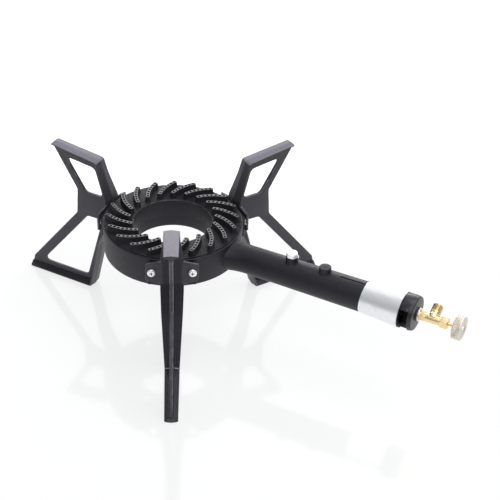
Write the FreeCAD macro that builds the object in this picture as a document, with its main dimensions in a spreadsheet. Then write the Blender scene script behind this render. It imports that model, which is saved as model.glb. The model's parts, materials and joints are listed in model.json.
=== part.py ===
import FreeCAD, Part
import math
import os
import Sketcher

# Outdoor gas stove: a cast ring burner on three legs with a mixing tube, air shutter and needle valve.
# Millimetres. Every body is drawn round the ring axis, with the floor at height 0 and the tube along +X,
# then moved along X so that the origin lies under the middle of the whole stove.

Vector = FreeCAD.Vector

SIZES = {
    # Ring casting and its lid
    "ring_radius": 90,
    "hole_radius": 50,
    "ring_base": 103,
    "base_radius": 88.3,
    "rim_height": 143.5,
    "casting_wall": 5,
    "rim_lip": 2.5,
    "deck_height": 144.5,
    "deck_thickness": 6,
    "seam_height": 120,
    "rim_chamfer": 0.8,
    "base_chamfer": 2,
    "seat_gap": 0.1,
    "screw_gap": 0.2,
    "tip_gap": 0.3,
    "pillar_radius": 5,
    "pillar_circle": 70,
    "pillar_turn": 30,
    # Swirl ridges and gas ports
    "ridge_count": 20,
    "ridge_height": 8,
    "ridge_base": 6.6,
    "ridge_draft": 8,
    "swirl_x": 31.9,
    "swirl_y": -44,
    "swirl_radius": 60.3,
    "swirl_start": 31.8,
    "swirl_end": 69.8,
    "port_flats": 1.8,
    "port_start": 35.2,
    "port_step": 5.2,
    # Pads on the ring wall for the legs
    "leg_face": 90.5,
    "pad_depth": 8,
    "pad_half_width": 31,
    "pad_bottom": 108,
    "pad_top": 138,
    "leg_screw_side": 25.5,
    "leg_screw_height": 129,
    "leg_screw_reach": 7.2,
    # Mixing tube
    "tube_height": 122.5,
    "tube_root": 87.6,
    "tube_root_radius": 20.5,
    "tube_neck": 107,
    "tube_neck_radius": 18.3,
    "flare_start": 270,
    "flare_radius": 19.5,
    "mouth": 323.2,
    "mouth_radius": 22.6,
    "spigot_end": 334.5,
    "spigot_radius": 19.92,
    "bore_start": 70,
    "bore_radius": 14.3,
    "mouth_bore": 17,
    "boss_radius": 7.5,
    "boss_rise": 25.5,
    "boss_near": 171,
    "boss_far": 216.5,
    "boss_hole": 4,
    "boss_hole_depth": 9,
    "bridge_start": 324,
    "bridge_width": 8,
    "hub_radius": 8,
    "foil_thickness": 0.25,
    # Air shutter
    "shutter_start": 323.5,
    "shutter_end": 340,
    "shutter_radius": 22.4,
    "shutter_taper": 0.7,
    "shutter_bore": 20,
    "shutter_bevel": 338.8,
    "shutter_nose": 21,
    "shutter_inside": 336,
    "shutter_collar": 8.8,
    "shutter_collar_end": 341.6,
    "shutter_hole": 6.7,
    "window_start": 323.2,
    "window_end": 331.4,
    "window_top": 38,
    "window_sweep": 112,
    "set_screw_x": 333,
    "set_screw_radius": 1.4,
    "set_screw_turn": 40,
    # Legs, as reach from the ring axis and height above the floor
    "toe_reach": 226,
    "foot_tip_height": 14.8,
    "heel_reach": 124,
    "knee_reach": 107.5,
    "knee_height": 76,
    "ear_low": 111,
    "ear_high": 148.7,
    "arm_start_reach": 108.5,
    "arm_start_height": 202,
    "arm_end_reach": 181,
    "arm_end_height": 211,
    "arm_end_depth": 8.5,
    "waist_reach": 145,
    "waist_high": 148,
    "waist_low": 111,
    "upper_window_outer": 167,
    "upper_window_outer_height": 196.3,
    "upper_window_inner": 116.6,
    "upper_window_inner_height": 189.7,
    "upper_window_sill": 146,
    "upper_sill_inner": 103.7,
    "upper_sill_outer": 131.8,
    "lower_window_head": 111,
    "lower_head_inner": 107.2,
    "lower_head_outer": 130.2,
    "lower_window_sill": 12.5,
    "lower_sill_inner": 134.2,
    "lower_sill_outer": 210.2,
    "arm_corner": 8,
    "sole_allowance": 0.6,
    "toe_step": 1,
    "toe_slope": 2.5,
    "waist_low_reach": 147.5,
    "web_thickness": 5.4,
    "flange_thickness": 4.6,
    "flange_draft": 4.5,
    "flange_heel": 9.3,
    "flange_ear": 14.75,
    "flange_arm": 10.8,
    "arm_end_half": 9.5,
    "toe_half": 7.6,
    "kink_height": 181,
    "ear_thickness": 4,
    "ear_half_span": 33,
    "ear_root": 14,
    "ear_tip_low": 117.5,
    "ear_tip_high": 144,
    "ear_hole": 3.4,
    # Valve, along the tube axis
    "nose_start": 317,
    "nose_radius": 5,
    "neck_start": 335.2,
    "neck_radius": 6.2,
    "hex_start": 344.1,
    "hex_end": 352,
    "hex_flats": 11,
    "barrel_radius": 5.6,
    "barrel_end": 370,
    "gland_thread_radius": 4.4,
    "gland_thread_end": 375.8,
    "gas_bore": 1.5,
    "jet_socket": 2.6,
    "jet_socket_end": 322,
    "seat_start": 353,
    "seat_end": 354.5,
    "chamber_radius": 2.6,
    "chamber_end": 366,
    "spindle_radius": 2,
    "running_gap": 0.05,
    "inlet_x": 360,
    "inlet_rise": 25,
    "inlet_length": 18.8,
    "inlet_thread_start": 9.3,
    "inlet_radius": 6.5785,
    "inlet_neck_radius": 5.4,
    "inlet_bore": 3,
    "inlet_way": 2.2,
    "washer_start": 341.7,
    "washer_radius": 8.5,
    "lock_nut_thickness": 5,
    "lock_nut_flats": 14,
    "jet_start": 304,
    "jet_flats": 8,
    "jet_orifice": 0.5,
    "gland_start": 370.2,
    "gland_end": 379.8,
    "gland_flats": 13,
    "gland_floor": 377.4,
    "packing_start": 376,
    "tip_start": 352.6,
    "tip_end": 357.5,
    "tip_radius": 2.25,
    "tip_point": 0.9,
    "tip_socket": 1.3,
    "tip_socket_depth": 2,
    "spindle_end": 396,
    # Knob
    "knob_start": 388.2,
    "knob_end": 399,
    "knob_radius": 15.25,
    "knob_edge": 1,
    "knob_band": 396,
    "knob_groove": 0.5,
    "knob_dish": 11,
    "knob_dish_depth": 1.6,
    "knob_cup": 10.5,
    "knob_cup_depth": 2.6,
    "knob_hub": 5,
    "knob_fit": 0.02,
    "knob_slope": 1,
    # Fasteners
    "m6_radius": 2.95,
    "m6_head_radius": 5.25,
    "m6_head_height": 3.4,
    "m5_radius": 2.45,
    "m5_head_radius": 4.6,
    "m5_head_height": 3.2,
    "lid_screw_length": 18,
    "m3_radius": 1.2,
    "m3_head_radius": 2.8,
    "m3_head_height": 1.8,
    "m3_length": 8,
    "bolt_flats": 13,
    "bolt_head_height": 5.5,
    "bolt_radius": 3.95,
    "bolt_length": 8.5,
    "bolt_turn": 37,
}

LEG_TURNS = {"leg_rear": 180, "leg_right": -60, "leg_left": 60}
LID_SCREW_TURNS = (30, 150, 270)
PORTS_PER_RIDGE = 7
# How far a cut runs past the face that it opens
SPARE = 1
WINDOW_SPARE = 0.5
# Where a flange's inside corners lie, as shares of its thickness
ARM_SKEW = 0.75
HEEL_SKEW = 0.8
# A pan head's upright side and flat top, as shares of its height and radius
HEAD_SIDE = 0.45
HEAD_TOP = 0.7
LEAST_CUT = 0.01
WINDOW_CORNERS = (4.5, 8, 4, 8, 5, 6, 4, 5)

doc = FreeCAD.newDocument("outdoor_gas_stove")
sheet = doc.addObject("Spreadsheet::Sheet", "Sizes")


class Dim:
    """A size: its number and the sheet expression that drives it."""

    def __init__(self, number, text):
        self.number = float(number)
        self.text = text

    def __add__(self, other):
        other = as_dim(other)
        return Dim(self.number + other.number, f"({self.text} + {other.text})")

    def __sub__(self, other):
        other = as_dim(other)
        return Dim(self.number - other.number, f"({self.text} - {other.text})")

    def __mul__(self, other):
        other = as_dim(other)
        return Dim(self.number * other.number, f"({self.text} * {other.text})")

    def __truediv__(self, other):
        other = as_dim(other)
        return Dim(self.number / other.number, f"({self.text} / {other.text})")

    def __radd__(self, other):
        return as_dim(other) + self

    def __rsub__(self, other):
        return as_dim(other) - self

    def __rmul__(self, other):
        return as_dim(other) * self

    def __neg__(self):
        return Dim(-self.number, f"(-1 * {self.text})")


class Cells:
    """Reads a sheet cell by its alias as a Dim."""

    def __getattr__(self, alias):
        return Dim(SIZES[alias], "Sizes." + alias)


def as_dim(value):
    return value if isinstance(value, Dim) else Dim(value, f"({value})")


def cosine(angle):
    return Dim(math.cos(math.radians(angle.number)), f"cos({angle.text})")


def sine(angle):
    return Dim(math.sin(math.radians(angle.number)), f"sin({angle.text})")


size = Cells()
SHIFT = (size.toe_reach - size.knob_end) / 2


def fill_sheet():
    for row, (alias, value) in enumerate(SIZES.items(), start=1):
        sheet.set(f"A{row}", alias)
        sheet.set(f"B{row}", str(value))
        sheet.setAlias(f"B{row}", alias)
    doc.recompute()


def new_body(name, turn=0, reach=0):
    """Start a body upright at a reach from the ring axis, turned there and moved to the shared origin."""
    place = SHIFT + reach
    body = doc.addObject("PartDesign::Body", name)
    body.Label = name
    spin = FreeCAD.Rotation(Vector(0, 0, 1), turn)
    body.Placement = FreeCAD.Placement(Vector(place.number, 0, 0), spin)
    body.setExpression("Placement.Base.x", place.text)
    return body


def origin_item(body, role):
    return [item for item in body.Origin.OriginFeatures if item.Role == role][0]


def sketch_on(body, name, role, x=0, y=0, z=0, tilt=0):
    """Attach a sketch to an origin plane, moved in the plane's own axes and tilted about its first one."""
    sketch = body.newObject("Sketcher::SketchObject", name)
    sketch.AttachmentSupport = [(origin_item(body, role), "")]
    sketch.MapMode = "FlatFace"
    moves = {"x": as_dim(x), "y": as_dim(y), "z": as_dim(z)}
    lean = FreeCAD.Rotation(Vector(1, 0, 0), as_dim(tilt).number)
    base = Vector(moves["x"].number, moves["y"].number, moves["z"].number)
    sketch.AttachmentOffset = FreeCAD.Placement(base, lean)
    for axis, move in moves.items():
        if move.number:
            sketch.setExpression(f"AttachmentOffset.Base.{axis}", move.text)
    return sketch


def pin_point(sketch, geometry, end, point):
    """Hold one point of a sketch at its driven place."""
    for kind, axis, value in (("DistanceX", -2, point[0]), ("DistanceY", -1, point[1])):
        value = as_dim(value)
        if value.number == 0:
            sketch.addConstraint(Sketcher.Constraint("PointOnObject", geometry, end, axis))
            continue
        held = sketch.addConstraint(Sketcher.Constraint(kind, -1, 1, geometry, end, value.number))
        sketch.setExpression(f"Constraints[{held}]", value.text)


def flat(point):
    return Vector(as_dim(point[0]).number, as_dim(point[1]).number, 0)


def outline(sketch, points):
    """Draw a closed outline of straight lines through driven points."""
    first = sketch.GeometryCount
    count = len(points)
    for index, point in enumerate(points):
        after = points[(index + 1) % count]
        sketch.addGeometry(Part.LineSegment(flat(point), flat(after)), False)
    for index, point in enumerate(points):
        after = first + (index + 1) % count
        sketch.addConstraint(Sketcher.Constraint("Coincident", first + index, 2, after, 1))
        pin_point(sketch, first + index, 1, point)


def both_sides(sketch, points):
    """Draw an outline and its mirror image about the sketch's vertical axis."""
    outline(sketch, points)
    outline(sketch, [(-as_dim(x), y) for x, y in points])


def circle(sketch, centre, radius):
    radius = as_dim(radius)
    round_edge = sketch.addGeometry(Part.Circle(flat(centre), Vector(0, 0, 1), radius.number), False)
    pin_point(sketch, round_edge, 3, centre)
    held = sketch.addConstraint(Sketcher.Constraint("Radius", round_edge, radius.number))
    sketch.setExpression(f"Constraints[{held}]", radius.text)


def hexagon(sketch, flats, centre=(0, 0)):
    """Draw a hexagon by its width across flats, with a corner up."""
    corner = as_dim(flats) / math.sqrt(3)
    half = as_dim(flats) / 2
    places = [(0, 1), (-1, 0.5), (-1, -0.5), (0, -1), (1, -0.5), (1, 0.5)]
    outline(sketch, [(centre[0] + side * half, centre[1] + up * corner) for side, up in places])


def pad(body, sketch, length, symmetric=False, draft=None, back=False):
    feature = body.newObject("PartDesign::Pad", "pad_" + sketch.Name)
    feature.Profile = sketch
    feature.SideType = "Symmetric" if symmetric else "One side"
    feature.Reversed = back
    length = as_dim(length)
    feature.Length = length.number
    feature.setExpression("Length", length.text)
    if draft is not None:
        feature.TaperAngle = -draft.number
        feature.setExpression("TaperAngle", f"-1 * {draft.text}")
    doc.recompute()
    return feature


def revolve(body, sketch, axis):
    feature = body.newObject("PartDesign::Revolution", "turned_" + sketch.Name)
    feature.Profile = sketch
    feature.ReferenceAxis = (sketch, [axis])
    feature.Angle = 360
    doc.recompute()
    return feature


def must_cut(body, before, feature):
    """Stop when a cut has pointed away from the solid."""
    doc.recompute()
    if not feature.Shape.Volume < before - LEAST_CUT:
        raise RuntimeError(f"{body.Label}: {feature.Name} removed nothing")
    return feature


def pocket(body, sketch, depth=None, forward=False, symmetric=False):
    """Cut a sketch into its body, against its normal or forward along it, right through with no depth."""
    before = body.Tip.Shape.Volume
    feature = body.newObject("PartDesign::Pocket", "cut_" + sketch.Name)
    feature.Profile = sketch
    feature.SideType = "Symmetric" if symmetric else "One side"
    feature.Reversed = forward
    if depth is None:
        feature.Type = "ThroughAll"
    else:
        depth = as_dim(depth)
        feature.Length = depth.number
        feature.setExpression("Length", depth.text)
    return must_cut(body, before, feature)


def groove(body, sketch, axis, sweep=None, back=False):
    before = body.Tip.Shape.Volume
    feature = body.newObject("PartDesign::Groove", "groove_" + sketch.Name)
    feature.Profile = sketch
    feature.ReferenceAxis = (sketch, [axis])
    feature.Reversed = back
    feature.Angle = 360
    if sweep is not None:
        feature.Angle = sweep.number
        feature.setExpression("Angle", sweep.text)
    return must_cut(body, before, feature)


def polar(body, features, count):
    """Repeat features evenly about the ring axis."""
    pattern = body.newObject("PartDesign::PolarPattern", "round_" + features[0].Name)
    pattern.Originals = features
    pattern.Axis = (origin_item(body, "Z_Axis"), [""])
    pattern.Angle = 360
    pattern.Occurrences = count
    body.Tip = pattern
    doc.recompute()
    return pattern


def edges_at(feature, places, near):
    """Name the edges of a feature whose centres lie at the given places."""
    spots = [Vector(*[as_dim(value).number for value in place]) for place in places]
    names = []
    for number, edge in enumerate(feature.Shape.Edges, start=1):
        if any((edge.CenterOfMass - spot).Length < near for spot in spots):
            names.append(f"Edge{number}")
    if not names:
        raise RuntimeError(f"{feature.Name}: no edge found to round")
    return names


def fillet(body, places, radius, near=0.3):
    base = body.Tip
    names = edges_at(base, places, near)
    feature = body.newObject("PartDesign::Fillet", f"round_{base.Name}")
    feature.Base = (base, names)
    feature.Radius = radius
    doc.recompute()
    return feature


def axial_sketch(body, name, tilt=0):
    """Start a profile whose first axis is the tube axis."""
    return sketch_on(body, name, "XZ_Plane", y=size.tube_height, tilt=tilt)


def cross_sketch(body, name, reach):
    """Start a cross section of the tube or valve at a reach along X, centred on the tube axis."""
    return sketch_on(body, name, "YZ_Plane", y=size.tube_height, z=reach)


def turned_body(name, points):
    """A body turned about the tube axis from a profile of reach and radius."""
    body = new_body(name)
    profile = axial_sketch(body, name + "_profile")
    outline(profile, points)
    revolve(body, profile, "H_Axis")
    return body


def cut_window(body, name, inner, outer):
    """Cut the air window through a round wall of the tube mouth."""
    window = axial_sketch(body, name, tilt=90 - SIZES["window_top"])
    inside = inner - WINDOW_SPARE
    outside = outer + WINDOW_SPARE
    outline(window, [
        (size.window_start, inside),
        (size.window_end, inside),
        (size.window_end, outside),
        (size.window_start, outside),
    ])
    groove(body, window, "H_Axis", size.window_sweep)


def build_burner_body():
    body = new_body("burner_body")
    wall = size.casting_wall
    deck_seat = size.deck_height - size.deck_thickness
    trough = sketch_on(body, "trough", "XZ_Plane")
    outline(trough, [
        (size.hole_radius, size.ring_base),
        (size.base_radius - size.base_chamfer, size.ring_base),
        (size.base_radius, size.ring_base + size.base_chamfer),
        (size.ring_radius, size.rim_height - size.rim_chamfer),
        (size.ring_radius - size.rim_chamfer, size.rim_height),
        (size.ring_radius - size.rim_lip, size.rim_height),
        (size.ring_radius - size.rim_lip, deck_seat),
        (size.ring_radius - wall, deck_seat),
        (size.ring_radius - wall, size.ring_base + wall),
        (size.hole_radius + wall, size.ring_base + wall),
        (size.hole_radius + wall, size.seam_height),
        (size.hole_radius, size.seam_height),
    ])
    revolve(body, trough, "V_Axis")
    add_leg_pads(body)
    add_mixing_tube(body)
    add_tube_mouth(body)
    lid_hole = sketch_on(body, "lid_hole", "XY_Plane", z=size.ring_base)
    turn = size.pillar_turn
    centre = (size.pillar_circle * cosine(turn), size.pillar_circle * sine(turn))
    circle(lid_hole, centre, size.m5_radius + size.screw_gap)
    hole = pocket(body, lid_hole, wall + SPARE, forward=True)
    polar(body, [hole], len(LID_SCREW_TURNS))
    return body


def add_leg_pads(body):
    """Three flat pads on the ring wall, each with two blind screw holes."""
    side = size.pad_half_width
    face = sketch_on(body, "leg_pad", "YZ_Plane", z=-size.leg_face)
    outline(face, [
        (-side, size.pad_bottom),
        (side, size.pad_bottom),
        (side, size.pad_top),
        (-side, size.pad_top),
    ])
    plate = pad(body, face, size.pad_depth)
    holes = sketch_on(body, "leg_screw_holes", "YZ_Plane", z=-size.leg_face)
    for hand in (-1, 1):
        circle(holes, (hand * size.leg_screw_side, size.leg_screw_height), size.m6_radius + size.running_gap)
    drilled = pocket(body, holes, size.leg_screw_reach + size.tip_gap, forward=True)
    polar(body, [plate, drilled], len(LEG_TURNS))


def add_mixing_tube(body):
    """The tube with its flared mouth, two bosses on top, one of them drilled, and the bore into the ring."""
    tube = axial_sketch(body, "tube")
    outline(tube, [
        (size.tube_root, 0),
        (size.tube_root, size.tube_root_radius),
        (size.tube_neck, size.tube_neck_radius),
        (size.flare_start, size.flare_radius),
        (size.mouth, size.mouth_radius),
        (size.mouth, size.spigot_radius),
        (size.spigot_end, size.spigot_radius),
        (size.spigot_end, 0),
    ])
    revolve(body, tube, "H_Axis")
    bosses = sketch_on(body, "bosses", "XY_Plane", z=size.tube_height)
    for reach in (size.boss_near, size.boss_far):
        circle(bosses, (reach, 0), size.boss_radius)
    pad(body, bosses, size.boss_rise)
    hole = sketch_on(body, "boss_hole", "XY_Plane", z=size.tube_height + size.boss_rise)
    circle(hole, (size.boss_near, 0), size.boss_hole)
    pocket(body, hole, size.boss_hole_depth)
    bore = axial_sketch(body, "bore")
    outline(bore, [
        (size.bore_start, 0),
        (size.bore_start, size.bore_radius),
        (size.flare_start, size.bore_radius),
        (size.mouth, size.mouth_bore),
        (size.spigot_end + SPARE, size.mouth_bore),
        (size.spigot_end + SPARE, 0),
    ])
    groove(body, bore, "H_Axis")


def add_tube_mouth(body):
    """The bridge across the mouth that holds the valve, and the air window in the spigot."""
    bridge = cross_sketch(body, "bridge", size.bridge_start)
    half = size.bridge_width / 2
    reach = size.mouth_bore + SPARE
    outline(bridge, [(-half, -reach), (half, -reach), (half, reach), (-half, reach)])
    pad(body, bridge, size.spigot_end - size.bridge_start)
    hub = cross_sketch(body, "hub", size.bridge_start)
    circle(hub, (0, 0), size.hub_radius)
    pad(body, hub, size.spigot_end - size.bridge_start)
    nose_hole = cross_sketch(body, "nose_hole", size.bridge_start)
    circle(nose_hole, (0, 0), size.nose_radius + size.running_gap)
    pocket(body, nose_hole, forward=True)
    cut_window(body, "spigot_window", size.mouth_bore, size.spigot_radius)


def build_burner_head():
    """The ring lid: a plate with an inner skirt, pillars, swirl ridges and gas ports."""
    body = new_body("burner_head")
    deck_seat = size.deck_height - size.deck_thickness
    lid_radius = size.ring_radius - size.rim_lip - size.seat_gap
    plate = sketch_on(body, "lid_plate", "XZ_Plane")
    outline(plate, [
        (size.hole_radius, size.seam_height),
        (size.hole_radius + size.casting_wall, size.seam_height),
        (size.hole_radius + size.casting_wall, deck_seat),
        (lid_radius, deck_seat),
        (lid_radius, size.deck_height),
        (size.hole_radius, size.deck_height),
    ])
    revolve(body, plate, "V_Axis")
    add_pillars(body, deck_seat)
    ridge = pad(body, ridge_sketch(body), size.ridge_height, draft=size.ridge_draft)
    ports = pocket(body, port_sketch(body), size.ridge_height + size.deck_thickness + SPARE)
    polar(body, [ridge, ports], SIZES["ridge_count"])
    return body


def add_pillars(body, deck_seat):
    """Three pillars under the plate with screw holes from below."""
    floor = size.ring_base + size.casting_wall
    centre = (size.pillar_circle * cosine(size.pillar_turn), size.pillar_circle * sine(size.pillar_turn))
    foot = sketch_on(body, "pillar", "XY_Plane", z=floor)
    circle(foot, centre, size.pillar_radius)
    post = pad(body, foot, deck_seat - floor)
    hole = sketch_on(body, "pillar_hole", "XY_Plane", z=floor)
    circle(hole, centre, size.m5_radius + size.running_gap)
    drilled = pocket(body, hole, size.lid_screw_length, forward=True)
    polar(body, [post, drilled], len(LID_SCREW_TURNS))


def swirl_point(radius, angle):
    """A place on the arc that the ridges follow."""
    return (size.swirl_x + radius * cosine(angle), size.swirl_y + radius * sine(angle))


def ridge_sketch(body):
    """The foot of one swirl ridge: two arcs about one centre, closed by straight ends."""
    sketch = sketch_on(body, "ridge", "XY_Plane", z=size.deck_height)
    centre = flat((size.swirl_x, size.swirl_y))
    start = math.radians(SIZES["swirl_start"])
    end = math.radians(SIZES["swirl_end"])
    sides = (size.swirl_radius + size.ridge_base / 2, size.swirl_radius - size.ridge_base / 2)
    for number, radius in enumerate(sides):
        whole = Part.Circle(centre, Vector(0, 0, 1), radius.number)
        sketch.addGeometry(Part.ArcOfCircle(whole, start, end), False)
        pin_point(sketch, number, 1, swirl_point(radius, size.swirl_start))
        pin_point(sketch, number, 2, swirl_point(radius, size.swirl_end))
        held = sketch.addConstraint(Sketcher.Constraint("Radius", number, radius.number))
        sketch.setExpression(f"Constraints[{held}]", radius.text)
    for end_point, angle in ((1, size.swirl_start), (2, size.swirl_end)):
        outer = flat(swirl_point(sides[0], angle))
        inner = flat(swirl_point(sides[1], angle))
        line = sketch.addGeometry(Part.LineSegment(outer, inner), False)
        sketch.addConstraint(Sketcher.Constraint("Coincident", line, 1, 0, end_point))
        sketch.addConstraint(Sketcher.Constraint("Coincident", line, 2, 1, end_point))
    return sketch


def port_sketch(body):
    """The gas ports of one ridge, drawn six-sided because they repeat so often."""
    sketch = sketch_on(body, "ports", "XY_Plane", z=size.deck_height + size.ridge_height)
    for number in range(PORTS_PER_RIDGE):
        angle = size.port_start + number * size.port_step
        hexagon(sketch, size.port_flats, swirl_point(size.swirl_radius, angle))
    return sketch


def build_leg(name, turn):
    """A cast leg: a flanged inner edge, a plain web with two windows, and two ears."""
    body = new_body(name, turn)
    thick = size.flange_thickness
    flange = sketch_on(body, "flange", "XZ_Plane")
    sole = -size.sole_allowance
    outline(flange, [
        (size.toe_reach, sole),
        (size.heel_reach, sole),
        (size.knee_reach, size.knee_height),
        (size.leg_face, size.ear_low),
        (size.leg_face, size.ear_high),
        (size.arm_start_reach, size.arm_start_height),
        (size.arm_end_reach, size.arm_end_height),
        (size.arm_end_reach, size.arm_end_height - thick),
        (size.arm_start_reach + thick * ARM_SKEW, size.arm_start_height - thick),
        (size.leg_face + thick, size.ear_high),
        (size.leg_face + thick, size.ear_low + SPARE),
        (size.knee_reach + thick, size.knee_height + SPARE),
        (size.heel_reach + thick * HEEL_SKEW, thick),
        (size.toe_reach, thick),
    ])
    pad(body, flange, size.flange_ear * 2, symmetric=True, draft=size.flange_draft)
    trim_flange(body)
    half_way = size.flange_arm / 2
    corner = [(size.arm_start_reach, hand * half_way, size.arm_start_height) for hand in (-1, 1)]
    fillet(body, corner, SIZES["arm_corner"], near=2)
    add_web(body)
    add_ears(body)
    return body


def trim_flange(body):
    """Narrow the flange towards the heel, the arm end and the toe, and level the sole."""
    outside = size.ear_half_span
    above = size.arm_end_height + SPARE
    below = -SPARE
    front = sketch_on(body, "front_trim", "YZ_Plane")
    both_sides(front, [
        (size.flange_heel, below),
        (size.flange_ear, size.ear_low - 6),
        (size.flange_ear, size.ear_high),
        (size.flange_arm, size.kink_height),
        (size.flange_arm, above),
        (outside, above),
        (outside, below),
    ])
    pocket(body, front, forward=True)
    plan = sketch_on(body, "plan_trim", "XY_Plane", z=above)
    arm = [
        (size.arm_start_reach, size.flange_arm),
        (size.arm_end_reach + SPARE, size.arm_end_half),
        (size.arm_end_reach + SPARE, outside),
        (size.arm_start_reach, outside),
    ]
    outline(plan, arm)
    outline(plan, [(reach, -as_dim(side)) for reach, side in arm])
    pocket(body, plan, above - size.kink_height)
    toe = sketch_on(body, "toe_trim", "XY_Plane", z=below)
    foot = [
        (size.heel_reach, size.flange_heel),
        (size.toe_reach + SPARE, size.toe_half),
        (size.toe_reach + SPARE, outside),
        (size.heel_reach, outside),
    ]
    outline(toe, foot)
    outline(toe, [(reach, -as_dim(side)) for reach, side in foot])
    pocket(body, toe, size.flange_thickness * 2, forward=True)
    sole = sketch_on(body, "sole", "XY_Plane")
    outline(sole, [
        (size.knee_reach, -outside),
        (size.toe_reach + SPARE, -outside),
        (size.toe_reach + SPARE, outside),
        (size.knee_reach, outside),
    ])
    pocket(body, sole, size.flange_thickness)


def add_web(body):
    """The flat web between the arm, the ears and the foot, with its two windows."""
    web = sketch_on(body, "web", "XZ_Plane")
    inset = size.flange_thickness / 2
    outline(web, [
        (size.toe_reach, inset),
        (size.toe_reach - size.toe_step, size.flange_thickness),
        (size.toe_reach - size.toe_slope, size.foot_tip_height),
        (size.waist_low_reach, size.waist_low),
        (size.waist_reach, size.waist_high),
        (size.arm_end_reach, size.arm_end_height - size.arm_end_depth),
        (size.arm_end_reach, size.arm_end_height - inset),
        (size.arm_start_reach + inset, size.arm_start_height - inset),
        (size.leg_face + inset, size.ear_high),
        (size.leg_face + inset, size.ear_low),
        (size.knee_reach + inset, size.knee_height),
        (size.heel_reach + inset, inset),
    ])
    pad(body, web, size.web_thickness, symmetric=True)
    upper = [
        (size.upper_window_outer, size.upper_window_outer_height),
        (size.upper_window_inner, size.upper_window_inner_height),
        (size.upper_sill_inner, size.upper_window_sill),
        (size.upper_sill_outer, size.upper_window_sill),
    ]
    lower = [
        (size.lower_head_outer, size.lower_window_head),
        (size.lower_head_inner, size.lower_window_head),
        (size.lower_sill_inner, size.lower_window_sill),
        (size.lower_sill_outer, size.lower_window_sill),
    ]
    windows = sketch_on(body, "leg_windows", "XZ_Plane")
    outline(windows, upper)
    outline(windows, lower)
    pocket(body, windows, size.web_thickness * 2, symmetric=True)
    for (reach, height), radius in zip(upper + lower, WINDOW_CORNERS):
        fillet(body, [(reach, 0, height)], radius)


def add_ears(body):
    """The two ears that bolt to a pad of the ring."""
    ears = sketch_on(body, "ears", "YZ_Plane", z=size.leg_face)
    outline(ears, [
        (-size.ear_root, size.ear_high),
        (-size.ear_half_span, size.ear_tip_high),
        (-size.ear_half_span, size.ear_tip_low),
        (-size.ear_root, size.ear_low),
        (size.ear_root, size.ear_low),
        (size.ear_half_span, size.ear_tip_low),
        (size.ear_half_span, size.ear_tip_high),
        (size.ear_root, size.ear_high),
    ])
    pad(body, ears, size.ear_thickness)
    holes = sketch_on(body, "ear_holes", "YZ_Plane", z=size.leg_face)
    for hand in (-1, 1):
        circle(holes, (hand * size.leg_screw_side, size.leg_screw_height), size.ear_hole)
    pocket(body, holes, size.ear_thickness + SPARE, forward=True)


def build_rating_foil():
    """A thin plain sleeve round the flared mouth."""
    thin = size.foil_thickness
    return turned_body("rating_foil", [
        (size.flare_start, size.flare_radius),
        (size.mouth, size.mouth_radius),
        (size.mouth, size.mouth_radius + thin),
        (size.flare_start, size.flare_radius + thin),
    ])


def build_air_shutter():
    """The end cap that turns on the spigot and covers its air window."""
    body = turned_body("air_shutter", [
        (size.shutter_start, size.shutter_bore),
        (size.shutter_start, size.shutter_radius),
        (size.shutter_bevel, size.shutter_radius - size.shutter_taper),
        (size.shutter_end, size.shutter_nose),
        (size.shutter_end, size.shutter_collar),
        (size.shutter_collar_end, size.shutter_collar),
        (size.shutter_collar_end, size.shutter_hole),
        (size.shutter_inside, size.shutter_hole),
        (size.shutter_inside, size.shutter_bore),
    ])
    cut_window(body, "shutter_window", size.shutter_bore, size.shutter_radius)
    hole = set_screw_sketch(body, "set_screw_hole", size.set_screw_radius + size.running_gap)
    pocket(body, hole, size.shutter_radius + SPARE, forward=True)
    return body


def set_screw_sketch(body, name, radius):
    """A round section across the set screw, which points out of the cap above its window."""
    lean = 90 - SIZES["set_screw_turn"]
    sketch = sketch_on(body, name, "XY_Plane", z=size.tube_height, tilt=lean)
    circle(sketch, (size.set_screw_x, 0), radius)
    return sketch


def build_set_screw():
    """A headless screw through the cap wall, just clear of the spigot."""
    body = new_body("shutter_set_screw")
    pad(body, set_screw_sketch(body, "set_screw", size.set_screw_radius), size.shutter_radius)
    core = set_screw_sketch(body, "set_screw_core", size.set_screw_radius + SPARE)
    pocket(body, core, size.spigot_radius + size.tip_gap, forward=True)
    return body


def build_clamp_washer():
    return turned_body("clamp_washer", [
        (size.washer_start, size.neck_radius + size.seat_gap),
        (size.washer_start, size.washer_radius),
        (size.hex_start, size.washer_radius),
        (size.hex_start, size.neck_radius + size.seat_gap),
    ])


def build_valve_body():
    """The brass body: threaded nose, neck, hexagon, barrel, gland thread and side inlet."""
    body = turned_body("valve_body", [
        (size.nose_start, 0),
        (size.nose_start, size.nose_radius),
        (size.neck_start, size.nose_radius),
        (size.neck_start, size.neck_radius),
        (size.hex_start, size.neck_radius),
        (size.hex_start, size.barrel_radius),
        (size.barrel_end, size.barrel_radius),
        (size.barrel_end, size.gland_thread_radius),
        (size.gland_thread_end, size.gland_thread_radius),
        (size.gland_thread_end, 0),
    ])
    flats = cross_sketch(body, "valve_hex", size.hex_start)
    hexagon(flats, size.hex_flats)
    pad(body, flats, size.hex_end - size.hex_start)
    inlet = inlet_sketch(body, "inlet")
    outline(inlet, [
        (0, 0),
        (size.inlet_neck_radius, 0),
        (size.inlet_neck_radius, size.inlet_thread_start),
        (size.inlet_radius, size.inlet_thread_start),
        (size.inlet_radius, size.inlet_length),
        (0, size.inlet_length),
    ])
    revolve(body, inlet, "V_Axis")
    drill_valve(body)
    return body


def inlet_sketch(body, name):
    """A plane through the valve axis and the inlet axis, centred where they meet."""
    return sketch_on(body, name, "XY_Plane", x=size.inlet_x, z=size.tube_height, tilt=SIZES["inlet_rise"])


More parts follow.
